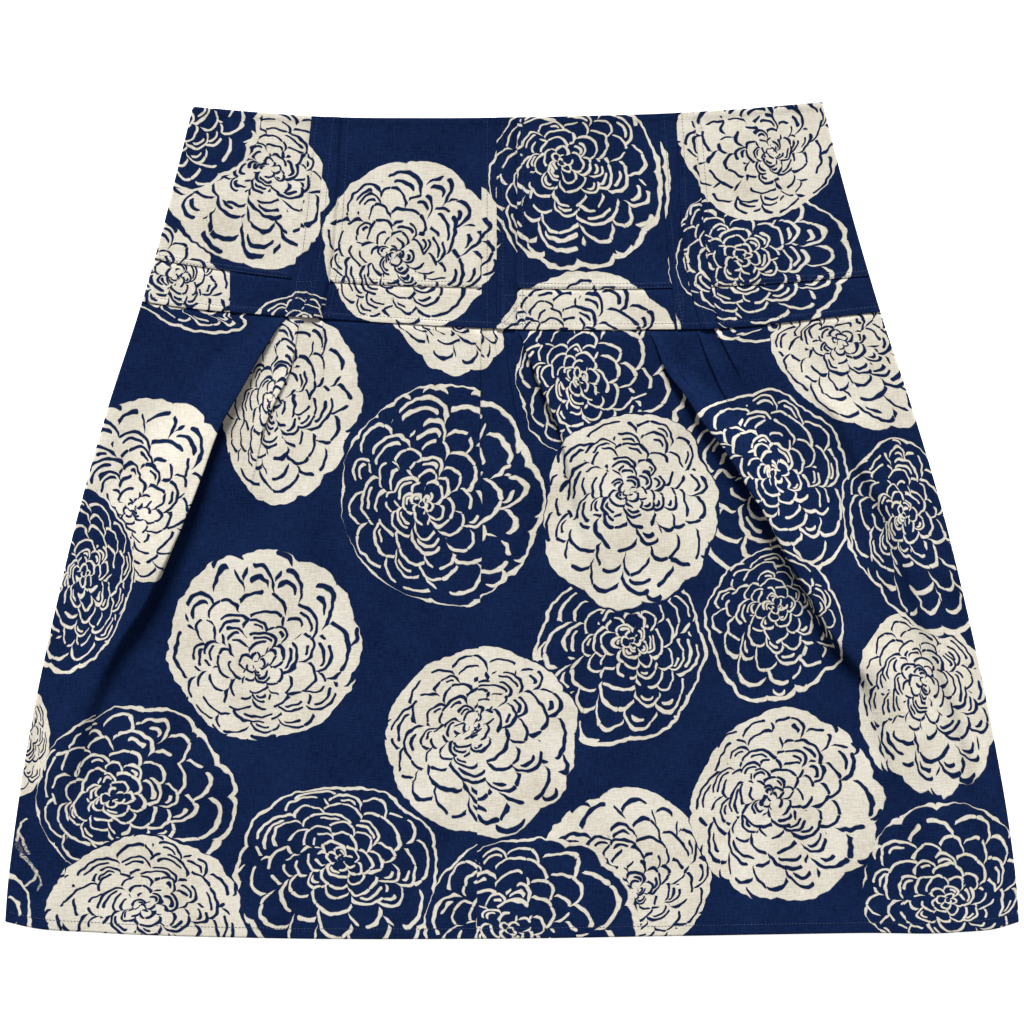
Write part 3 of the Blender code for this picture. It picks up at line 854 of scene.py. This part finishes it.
def fold_height(lines, x, y):
    """How far a fold lifts the cloth on its lapping side and past its edge."""
    side, edge, rise, lap, opening, tuck = lines
    past = (edge(y) - x) * side
    off = np.clip(past / (opening(y) * (1 - TUCKED_IN * tuck(y))), 0, 1)
    back = np.clip(-past / lap(y), 0, 1)
    return rise(y) * np.where(past > 0, (1 + np.cos(np.pi * off)) / 2, (1 - back) ** 2 * (1 + 2 * back))


def bend(lines, y, step):
    """Distance past the edge, and share of the rise, at a step from a fold's edge to its foot."""
    side, edge, rise, lap, opening, tuck = lines
    k = tuck(y)
    foot = opening(y) * (1 - TUCKED_IN * k)
    nose = opening(y) * NOSE[0] * (1 - k) + (NOSE[1] + NOSE[2] * rise(y)) * k
    heel = opening(y) * HEEL[0] * (1 - k) - (HEEL[1] + HEEL[2] * rise(y)) * k
    past = 3 * (1 - step) ** 2 * step * nose + 3 * (1 - step) * step**2 * heel + step**3 * foot
    return past, (1 - step) ** 2 * (1 + 2 * step)


def skirt_grid():
    """Points of the front skirt, row by row from the turned hem to the yoke seam, and its cut."""
    lines = [fold_lines(fold) for fold in FOLDS]
    place = patch(side_left, side_right, hem, moved(yoke_seam, UNDERLAP))
    up, turned = hem_rows(place, SKIRT_ROWS)
    start, end = place(0, up), place(1, up)
    wide = end[0] - start[0]
    groups = [np.concatenate([start[0] + inset for inset, _ in SIDE_TURN], axis=1)]
    for line in lines:
        y = (start[1] + end[1]) / 2
        for _ in range(5):
            y = place((line[1](y) - start[0]) / wide, up)[1]
        side, edge, rise, lap, opening, tuck = line
        reach = np.minimum(lap(y), LAP_REACH)
        columns = [edge(y) + side * share * reach for share in LAP_STEPS]
        columns += [edge(y) - side * bend(line, y, step)[0] for step in BEND_STEPS]
        columns = columns if side < 0 else columns[::-1]
        groups.append(np.concatenate(columns, axis=1))
    groups.append(np.concatenate([end[0] - inset for inset, _ in reversed(SIDE_TURN)], axis=1))
    columns, owner = [groups[0]], [-1] * len(SIDE_TURN)
    for number, (count, group) in enumerate(zip(FILL, groups[1:])):
        left, right = columns[-1].max(axis=1, keepdims=True), group.min(axis=1, keepdims=True)
        shares = (np.arange(count) + 1) / (count + 1)
        columns.append(left + (right - left) * shares[None, :])
        columns.append(group)
        owner += [-1] * count + [number if number < len(lines) else -1] * group.shape[1]
    x = np.concatenate(columns, axis=1)
    y = place((x - start[0]) / wide, up)[1]
    z = np.zeros_like(x)
    owner = np.array(owner)
    for number, line in enumerate(lines):
        mine = np.flatnonzero(owner == number)
        height = fold_height(line, x, y)
        order = mine if line[0] < 0 else mine[::-1]
        for step, column in zip(BEND_STEPS, order[len(LAP_STEPS) :]):
            height[:, column] = line[2](y[:, column]) * bend(line, y[:, column], step)[1]
        z += height
    edge_in = np.minimum(x - start[0], end[0] - x)
    z *= smooth((edge_in - FOLD_EASE[0]) / FOLD_EASE[1])
    z += (unevenness(x, y) + creases(x, y, SKIRT_CREASES)) * smooth(edge_in / WAVE_EASE)
    z -= UNDER_DIP * (1 - smooth((yoke_seam(x) - y) / DIP_EASE))
    z += FRONT_LEVEL
    for column, (inset, level) in enumerate(SIDE_TURN[:5]):
        z[:, column] = level
        z[:, -1 - column] = level
    tucked = smooth(edge_in / 5)
    z -= turned * tucked
    runs = np.cumsum(np.hypot(np.diff(x), np.diff(z)), axis=1)
    flat_x = np.concatenate([np.zeros((x.shape[0], 1)), runs], axis=1)
    zone = np.zeros(x.shape[1] - 1, int)
    for number in ZONE_FOLDS:
        mine = np.flatnonzero(owner == number)
        order = mine if lines[number][0] < 0 else mine[::-1]
        zone[order[len(LAP_STEPS) + ZONE_STEP] :] += 1
    middle = np.argmin(np.abs(x[x.shape[0] // 2] - STILL_X))
    flat_x += (x - flat_x)[:, middle : middle + 1]
    return stacked(x, y, z), hem_cut(flat_x, y, turned), zone


# The print lies in four zones, because the two big folds and the centre tuck press cloth out of
# sight: left of the left fold, up to the centre tuck, up to the right fold, and right of it.
ZONE_FOLDS = (0, 3, 7)  # the folds between the zones
ZONE_SHIFT = 900.0  # between the zones of the print in the texture map
STILL_X = 70  # where the flat cut and the laid cloth agree across
SKIRT_BLOOMS = (
    # Where each bloom shows on the laid skirt: across, up, radius across, radius up, turn, kind, zone
    (-205, 166, 48, 46, 0, "navy", 0),
    (-236, 21, 60, 62, 248, "cream", 0),
    (-280, -37, 37, 61, 2, "navy", 0),
    (-325, -138, 31, 43, 5, "cream", 0),
    (-241, -177, 65, 58, 184, "navy", 0),
    (-234, -262, 61, 66, 90, "cream", 0),
    (-345, -272, 42, 60, 181, "navy", 0),
    (-41, 133, 41, 38, 88, "cream", 1),
    (-142, 77, 47, 67, 181, "cream", 1),
    (-43, 16, 67, 73, 201, "navy", 1),
    (-159, -80, 63, 64, 253, "cream", 1),
    (-241, -177, 65, 58, 184, "navy", 1),
    (-112, -229, 61, 67, 80, "navy", 1),
    (-234, -262, 61, 66, 90, "cream", 1),
    (72, -226, 56, 58, 304, "cream", 1),
    (14, -262, 70, 61, 178, "navy", 1),
    (-19, -142, 62, 64, 120, "cream", 1),
    (-41, 133, 41, 38, 88, "cream", 2),
    (-48, 16, 67, 73, 201, "navy", 2),
    (56, 90, 58, 54, 179, "navy", 2),
    (163, 22, 58, 64, 45, "navy", 2),
    (69, -87, 58, 54, 60, "navy", 2),
    (169, -67, 50, 45, 92, "navy", 2),
    (75, 5, 66, 58, 86, "cream", 2),
    (-19, -142, 62, 64, 120, "cream", 2),
    (72, -226, 56, 58, 304, "cream", 2),
    (14, -262, 70, 61, 178, "navy", 2),
    (176, -183, 62, 64, 144, "cream", 2),
    (277, -232, 55, 56, 285, "navy", 2),
    (267, -118, 61, 46, 103, "cream", 2),
    (162, 162, 58, 46, 4, "navy", 3),
    (220, 107, 65, 42, 142, "cream", 3),
    (160, 22, 57, 64, 45, "navy", 3),
    (169, -67, 50, 45, 92, "navy", 3),
    (267, -118, 61, 46, 103, "cream", 3),
    (256, -11, 65, 39, 109, "navy", 3),
    (277, -232, 55, 56, 285, "navy", 3),
)
WORN = (
    # from x, y to x, y, half width, strength, scratchiness: a worn place low on the left
    (-310.5, -191.2, -314.5, -194.0, 0.8, 1.0, 0.1),
    (-314.5, -194.0, -315.8, -199.2, 0.95, 1.0, 0.0),
    (-315.8, -199.2, -317.6, -204.4, 1.0, 0.9, 0.2),
    (-315.6, -199.4, -312.5, -207.5, 0.85, 0.95, 0.3),
    (-312.5, -207.5, -309.3, -212.7, 1.2, 0.8, 0.8),
    (-314.3, -213.8, -305.8, -222.7, 1.3, 0.85, 0.85),
    (-305.8, -222.7, -302.6, -228.6, 1.0, 0.9, 0.6),
    (-302.6, -228.6, -301.2, -233.5, 0.9, 0.8, 0.6),
    (-301.2, -233.5, -302.9, -236.3, 0.7, 0.6, 0.6),
    (-303.9, -225.1, -306.6, -230.6, 0.95, 0.9, 0.2),
    (-306.6, -230.6, -311.6, -233.8, 0.8, 0.9, 0.3),
    (-317.0, -207.0, -313.5, -214.0, 2.2, 0.16, 0.9),
)


def on_cut(points, cut, zone, across, up, wanted):
    """Place in a zone of the flat print of what shows at a place of the laid cloth."""
    away = np.hypot(points[..., 0] - across, points[..., 1] - up) - 0.4 * points[..., 2]
    away = away + 1000 * (np.append(zone, zone[-1]) != wanted)
    spot = np.unravel_index(np.argmin(away), away.shape)
    return cut[spot] + np.array((across, up)) - points[spot][:2] + (wanted * ZONE_SHIFT, 0)


points, cut, zone = skirt_grid()
blooms = [(*on_cut(points, cut, zone, *row[:2], row[6]), *row[2:6]) for row in SKIRT_BLOOMS]
front_print = printed_cloth("front_print", blooms, WORN)
front_skirt = cloth("front_skirt_cloth", points, cut, front_print, zone * ZONE_SHIFT)
sewn_in(front_skirt, "front_skirt", cut)
front_pieces = [front_skirt]

# ----------------------------------------
# Front yoke: upper panels and lower bands of the same cloth, cut apart by the straps. At a seam
# the stitched edge lies over its turned-in allowance, and the other piece passes under it.

BAND_LINE = (
    # x, y: the seam between panels and bands
    (-232, 167.6),
    (-188, 160.6),
    (-142, 154.8),
    (-94, 151.3),
    (-20, 149.0),
    (89, 148.4),
    (159, 151.0),
    (228, 156.4),
)
STRAP_LEVELS = (258, 150, 128)
STRAPS = (
    # name, then seam edge, tuck and far edge at each level
    ("left", (-128.5, -117.9, -108.3), (-141.7, -130.1, -117.3), (-146.8, -134.6, -121.8)),
    ("centre", (-19.6, -9.6, 3.2), (-19.6, -9.6, 3.2), (-19.6, -9.6, 3.2)),
    ("right", (93.6, 105.1, 116.7), (102.2, 114.1, 127.6), (105.1, 119.9, 131.4)),
)
BAND_JOIN = -180.8  # x of the upright join in the left band
BAND_LIFT = 0.15
STRAP_ROW = 3.7  # of stitches, from a panel's or strap's edge
SEAM_ROW = 3.9  # of stitches, above the yoke seam
BAND_ROWS = (0.8, 3.4)  # of stitches, above the seam between panels and bands
EDGE_DROP = (0.08, 0.4)  # depth and width of the rounding at a piece's edge
EDGE_PAD = (0.3, 2.6, 3)  # height and width of the turned-in allowance, and of its slope
PUCKER = (0.09, 4.5)  # height of a seam's puckers, and how far they reach
GROOVE = (0.15, 0.55)  # depth and half width that a row of stitches presses in
EDGE_STEPS = (0.0, 0.25, 0.6, 1.0, 1.8, 2.6, 3.4, 4.2, 5.0, 7.0)
PANEL_STEP = 2.5
YOKE_CREASES = (
    # from x, y to x, y, bow, half width, height
    (-206, 236, -150, 244, 3, 5.0, 0.2),
    (-190, 178, -150, 196, -3, 5.0, -0.25),
    (-96, 205, -40, 214, 4, 6.0, 0.2),
    (-100, 168, -30, 160, 2, 5.0, -0.2),
    (18, 236, 84, 226, 3, 6.0, -0.25),
    (30, 180, 90, 196, -3, 5.0, 0.2),
    (134, 206, 196, 214, 3, 6.0, -0.25),
    (150, 168, 210, 178, -2, 5.0, 0.2),
)
YOKE_BLOOMS = (
    # across, up, radius across, radius up, turn, kind: first those that the panels show in place
    (-169, 212, 58, 54, 35, "cream"),
    (-65, 174, 57, 56, 210, "cream"),
    (40, 218, 59, 57, 132, "navy"),
    (46, 106, 61, 56, 185, "cream"),
    (159, 167, 60, 46, 176, "navy"),
    (157, 244, 55, 54, 309, "cream"),
    # the left side panel's, 300 mm to the left
    (-532, 150, 45, 45, 200, "cream"),
    (-458, 214, 55, 68, 76, "cream"),
    (-507, 259, 48, 47, 150, "navy"),
    # the inner left band's, below those
    (-437, 8, 38, 36, 40, "navy"),
    # the left strap's, 600 mm to the left
    (-782, 212, 55, 71, 76, "cream"),
    (-737, 108, 38, 36, 40, "navy"),
    (-662, 174, 57, 56, 210, "cream"),
    # the centre strap's, 300 mm up
    (-61, 482, 57, 56, 210, "cream"),
    (44, 515, 59, 57, 132, "navy"),
    (50, 403, 61, 56, 185, "cream"),
)

band_line = curve(BAND_LINE)
strap_lines = {}
for name, *levels in STRAPS:
    strap_lines[name] = [curve(zip(STRAP_LEVELS, line)) for line in zip(*levels)]
yoke_print = printed_cloth("yoke_print", YOKE_BLOOMS)


def groove(distance, row):
    """How deep a row of stitches presses in the cloth near it."""
    return GROOVE[0] * np.exp(-(((distance - row) / GROOVE[1]) ** 2))


def seam_relief(distance, along, kind, rows=()):
    """Height near an edge, by the distance from it: over or under the next piece, or at the waist."""
    if kind == "side":
        return 0.0
    if kind == "under":
        return -UNDER_DIP * (1 - smooth((distance - UNDERLAP) / DIP_EASE))
    edge = -EDGE_DROP[0] * np.exp(-((distance / EDGE_DROP[1]) ** 2))
    edge = edge + EDGE_PAD[0] * (1 - smooth((distance - EDGE_PAD[1]) / EDGE_PAD[2]))
    pucker = np.sin(along * 0.83 + 1.7 * np.sin(along * 0.29)) * np.sin(along * 0.11) ** 2
    edge = edge + PUCKER[0] * pucker * np.exp(-distance / PUCKER[1])
    return edge - sum(groove(distance, row) for row in rows)


def spread(length, step):
    """Distances from one edge to the other, close together beside both."""
    middle = length - 2 * EDGE_STEPS[-1]
    count = max(1, round(middle / step))
    inner = EDGE_STEPS[-1] + middle * np.arange(1, count) / count
    return np.concatenate([EDGE_STEPS, inner, length - np.array(EDGE_STEPS[::-1])])


def edge_line(line, kind, outwards):
    """A piece's edge beside a seam line: past it for the piece underneath, just short of it on top."""
    shift = {"under": UNDERLAP, "over": -HALF_GAP, "side": 0.0, "waist": 0.0}[kind]
    return line if shift == 0 else moved(line, outwards * shift)


def yoke_piece(name, edges, lift, shift):
    """A flat piece of the front yoke. edges: line, kind and stitch rows at left, right, bottom, top."""
    ways = (-1, 1, -1, 1)
    left, right, bottom, top = (edge_line(line, kind, way) for (line, kind, _), way in zip(edges, ways))
    at_left, at_right = edges[0][1] == "side", edges[1][1] == "side"
    place = patch(left, right, bottom, top)
    width = float(place(1, 0.5)[0] - place(0, 0.5)[0])
    length = float(place(0.5, 1)[1] - place(0.5, 0)[1])
    columns = spread(width, PANEL_STEP)
    heights = np.full(len(columns), FRONT_LEVEL)
    turn = len(SIDE_TURN)
    if at_left:
        columns = np.concatenate([[inset for inset, _ in SIDE_TURN], columns[turn:]])
        heights = np.concatenate([[height for _, height in SIDE_TURN], heights[turn:]])
    if at_right:
        columns = np.concatenate([columns[:-turn], [width - inset for inset, _ in reversed(SIDE_TURN)]])
        heights = np.concatenate([heights[:-turn], [height for _, height in reversed(SIDE_TURN)]])
    x, y = place(columns[None, :] / width, spread(length, PANEL_STEP)[:, None] / length)
    level_share = smooth((heights - 0.3) / (FRONT_LEVEL - 0.3))[None, :]
    distances = (x - left(y), right(y) - x, y - bottom(x), top(x) - y)
    relief = lift * smooth((top(x) - y) / 10)
    for distance, along, (_, kind, rows) in zip(distances, (y, y, x, x), edges):
        relief = relief + seam_relief(distance, along, kind, rows)
    z = heights[None, :] + level_share * (relief + 0.5 * unevenness(x, y) + creases(x, y, YOKE_CREASES))
    cut = stacked(x, y) + shift
    piece = cloth(f"{name}_cloth", stacked(x, y, z), cut, yoke_print)
    sewn_in(piece, name, cut)
    front_pieces.append(piece)


join = curve([(130, BAND_JOIN), (170, BAND_JOIN)])
left_strap, centre_strap, right_strap = (strap_lines[name] for name in ("left", "centre", "right"))
for name, left, right, shift in (
    ("side_left", (side_left, "side", ()), (left_strap[0], "under", ()), (-300, 0)),
    ("centre_left", (left_strap[2], "over", (STRAP_ROW,)), (centre_strap[0], "under", ()), (0, 0)),
    ("centre_right", (centre_strap[2], "over", (STRAP_ROW,)), (right_strap[0], "under", ()), (0, 0)),
    ("side_right", (right_strap[2], "over", (STRAP_ROW,)), (side_right, "side", ()), (0, 0)),
):
    edges = (left, right, (band_line, "over", BAND_ROWS), (waist, "waist", ()))
    yoke_piece(f"front_yoke_{name}", edges, 0.0, shift)
for name, left, right, shift in (
    ("outer_left", (side_left, "side", ()), (join, "under", ()), (56, 62)),
    ("inner_left", (join, "over", ()), (left_strap[0], "under", ()), (-300, -100)),
    ("centre_left", (left_strap[2], "over", (STRAP_ROW,)), (centre_strap[0], "under", ()), (1, -2)),
    ("centre_right", (centre_strap[2], "over", (STRAP_ROW,)), (right_strap[0], "under", ()), (-1, -2)),
    ("side_right", (right_strap[2], "over", (STRAP_ROW,)), (side_right, "side", ()), (2, 2)),
):
    edges = (left, right, (yoke_seam, "over", (SEAM_ROW,)), (band_line, "under", ()))
    yoke_piece(f"front_band_{name}", edges, BAND_LIFT, shift)

# ----------------------------------------
# Straps: three strips of the cloth from the waist to the yoke seam, over the seams of the panels.
# Each has a pressed tuck down its length, whose outer half lies over its inner half.

TUCK = (
    # across from the tuck's edge, height: the cloth through the pressed tuck
    (-1.2, 2.40),
    (-0.2, 2.40),
    (1.2, 2.40),
    (1.65, 2.48),
    (1.82, 2.65),
    (1.65, 2.82),
    (1.2, 2.90),
    (0.45, 2.90),
    (0.12, 2.98),
    (0.0, 3.15),
    (0.12, 3.32),
    (0.45, 3.40),
    (1.2, 3.40),
)
STRAP_DIP = 1.75  # height of the strap's far edge, under the next panel
STRAP_RELIEF = 0.6  # share of a panel's seam relief on a strap's ends
INNER_STEPS = (0.0, 0.25, 0.6, 1.0, 1.8, 2.8, 3.7, 4.6, 6.0, 7.4)  # of points from the seam edge
OUTER_STEPS = (6.6, 5.6, 4.6, 3.6, 2.6, 1.8, 1.0, 0.6, 0.25, 0.0)  # of points to the far edge
STRAP_SHIFTS = {"left": (-600, 0), "centre": (0, 300), "right": (-5, -3)}  # of the print
for name, *levels in STRAPS:
    edge, tuck, far = strap_lines[name]
    place = patch(moved(edge, HALF_GAP), moved(far, UNDERLAP), moved(yoke_seam, HALF_GAP), waist)
    length = float(place(0.5, 1)[1] - place(0.5, 0)[1])
    up = spread(length, PANEL_STEP)[:, None] / length
    left_x, left_y = place(0, up)
    right_x, right_y = place(1, up)
    fold_x = tuck((left_y + right_y) / 2)
    inner = left_x + np.array(INNER_STEPS)
    outer = right_x - np.array(OUTER_STEPS)
    bend_x = fold_x + np.array([across for across, _ in TUCK])
    x = np.concatenate([inner, bend_x, outer], axis=1)
    y = place((x - left_x) / (right_x - left_x), up)[1]
    low, high = TUCK[0][1], TUCK[-1][1]
    levels = [low] * len(INNER_STEPS) + [height for _, height in TUCK] + [high] * len(OUTER_STEPS)
    z = np.array(levels) + np.zeros_like(x)
    below, above = slice(None, len(INNER_STEPS)), slice(-len(OUTER_STEPS), None)
    z[:, below] += seam_relief(x - left_x, y, "over", (STRAP_ROW,))[:, below]
    z[:, above] -= groove(x - fold_x, STRAP_ROW)[:, above]
    z[:, above] += ((STRAP_DIP - high) * (1 - smooth((right_x - x - UNDERLAP) / 2.4)))[:, above]
    z += seam_relief(y - yoke_seam(x), x, "over", (SEAM_ROW,)) * STRAP_RELIEF
    z += seam_relief(waist(x) - y, x, "waist") * STRAP_RELIEF
    runs = np.cumsum(np.hypot(np.diff(x), np.diff(z)), axis=1)
    flat_x = left_x + np.concatenate([np.zeros_like(left_x), runs], axis=1)
    cut = stacked(flat_x, y) + STRAP_SHIFTS[name]
    piece = cloth(f"front_strap_{name}_cloth", stacked(x, y, z), cut, yoke_print)
    sewn_in(piece, f"front_strap_{name}", cut)
    front_pieces.append(piece)

# ----------------------------------------
# Sewing: rows of lockstitch in navy thread beside the seams, round the straps' crossings and
# along the hem. Each stitch is a small grain of thread pressed into the cloth.

STITCH_PITCH = 2.2
STITCH = (1.85, 0.36, 0.30)  # length, width and height
thread, thread_shader, _ = new_material("sewing_thread")
set_even(thread_shader, {"Base Color": (0.010, 0.023, 0.078, 1.0), "Roughness": 0.6})

depsgraph = bpy.context.evaluated_depsgraph_get()
surfaces = [BVHTree.FromObject(piece, depsgraph) for piece in front_pieces]


def top_at(x, y):
    """Height and normal of the uppermost cloth at a place, in metres."""
    hits = [surface.ray_cast(Vector((x * MM, y * MM, 0.05)), Vector((0, 0, -1))) for surface in surfaces]
    hits = [(hit[0].z, hit[1]) for hit in hits if hit[0] is not None]
    return max(hits, key=lambda hit: hit[0]) if hits else (None, None)


def sew(name, rows):
    """One piece of thread: rows of stitches along lines of points."""
    bm = bmesh.new()
    for line in rows:
        line = np.array(line, float)
        run = np.concatenate([[0], np.cumsum(np.hypot(*np.diff(line, axis=0).T))])
        for number in range(int(run[-1] / STITCH_PITCH)):
            at = (number + 0.5) * STITCH_PITCH
            x, y = np.interp(at, run, line[:, 0]), np.interp(at, run, line[:, 1])
            ahead = [np.interp(at + 0.5, run, line[:, axis]) for axis in (0, 1)]
            height, normal = top_at(x, y)
            if height is None:
                continue
            way = Vector((ahead[0] - x, ahead[1] - y, 0)).normalized()
            side = normal.cross(way).normalized()
            way = side.cross(normal)
            turn = Matrix((way, side, normal)).transposed().to_4x4()
            scale = Matrix.Diagonal((*STITCH, 1)) * MM
            scale[3][3] = 1
            spot = Matrix.Translation(Vector((x * MM, y * MM, height)) + normal * 0.00003)
            bmesh.ops.create_uvsphere(bm, u_segments=6, v_segments=4, radius=0.5, matrix=spot @ turn @ scale)
    for face in bm.faces:
        face.smooth = True
    piece = finished(name, bm, thread)
    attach(piece, "root")


def upright(line, distance, low, high):
    """Points of an upright row beside a line."""
    y = np.linspace(low, high, 40)
    return np.stack([line(y) + distance, y], axis=1)


def level_row(line, distance, left, right):
    """Points of a row above a line."""
    x = np.linspace(left, right, 60)
    return np.stack([x, line(x) + distance], axis=1)


def crossing(x, y, width, h):
    """A stitched box with an X, where a strap crosses the band."""
    w = width / 2
    box = [(x - w, y), (x + w, y), (x + w, y + h), (x - w, y + h), (x - w, y)]
    return [box, [(x - w, y + 1), (x + w, y + h - 1)], [(x + w, y + 1), (x - w, y + h - 1)]]


strap_rows = []
for name, *levels in STRAPS:
    for line in strap_lines[name]:
        low = float(yoke_seam(line(125.0))) + 0.8
        high = float(waist(line(260.0))) - 0.6
        strap_rows.append(upright(line, STRAP_ROW, low, high))
sew("strap_stitches", strap_rows)
BOXES = (
    # middle x, base y, width, height
    (-133.0, 142.6, 9.6, 10.3),
    (1.9, 125.5, 14.0, 18.6),
    (107.0, 128.5, 5.2, 16.0),
)
sew("box_stitches", [row for box in BOXES for row in crossing(*box)])
ends = (side_left, left_strap[0], left_strap[2], centre_strap[0])
ends += (centre_strap[2], right_strap[0], right_strap[2], side_right)
band_rows = []
for left, right in zip(ends[::2], ends[1::2]):
    for row in BAND_ROWS:
        band_rows.append(level_row(band_line, row + 0.1, float(left(150.0)) + 1.2, float(right(150.0)) - 0.8))
sew("band_stitches", band_rows)
left, right = float(side_left(131.0)) + 1.5, float(side_right(131.0)) - 1.5
sew("yoke_seam_stitches", [level_row(yoke_seam, SEAM_ROW, left, right)])
left, right = float(side_left(-250.0)) + 2, float(side_right(-250.0)) - 2
sew("hem_stitches", [level_row(hem, 6.4, left, right)])

# ----------------------------------------
# The stage: a plain white floor, soft light from the waist's side and a camera straight above.

bm = bmesh.new()
bmesh.ops.create_grid(bm, x_segments=1, y_segments=1, size=3.0)
paper, paper_shader, _ = new_material("white_floor")
even = {"Base Color": (0.92, 0.92, 0.92, 1.0), "Roughness": 1.0, "Specular IOR Level": 0.0}
set_even(paper_shader, {**even, "Emission Color": (1.0, 1.0, 1.0, 1.0), "Emission Strength": 0.8})
floor = finished("floor", bm, paper)

world = bpy.data.worlds.new("studio")
world.use_nodes = True
set_even(world.node_tree.nodes["Background"], {"Color": (1.0, 1.0, 1.0, 1.0), "Strength": 0.3})
bpy.context.scene.world = world

key = bpy.data.lights.new("key", "SUN")
key.energy = 6.6
key.angle = np.radians(20)
key_lamp = bpy.data.objects.new("key", key)
key_lamp.location = (-0.12, 2.0, 1.0)
key_lamp.rotation_euler = Vector(key_lamp.location).to_track_quat("Z", "Y").to_euler()
bpy.context.collection.objects.link(key_lamp)

lens = bpy.data.cameras.new("camera")
lens.type = "PERSP"
lens.sensor_width = 36.0
lens.lens = 109.7
camera = bpy.data.objects.new("camera", lens)
camera.location = (0.0, 5.45 * MM, 2.0)
bpy.context.collection.objects.link(camera)
bpy.context.scene.camera = camera
bpy.context.scene.view_settings.view_transform = "Standard"
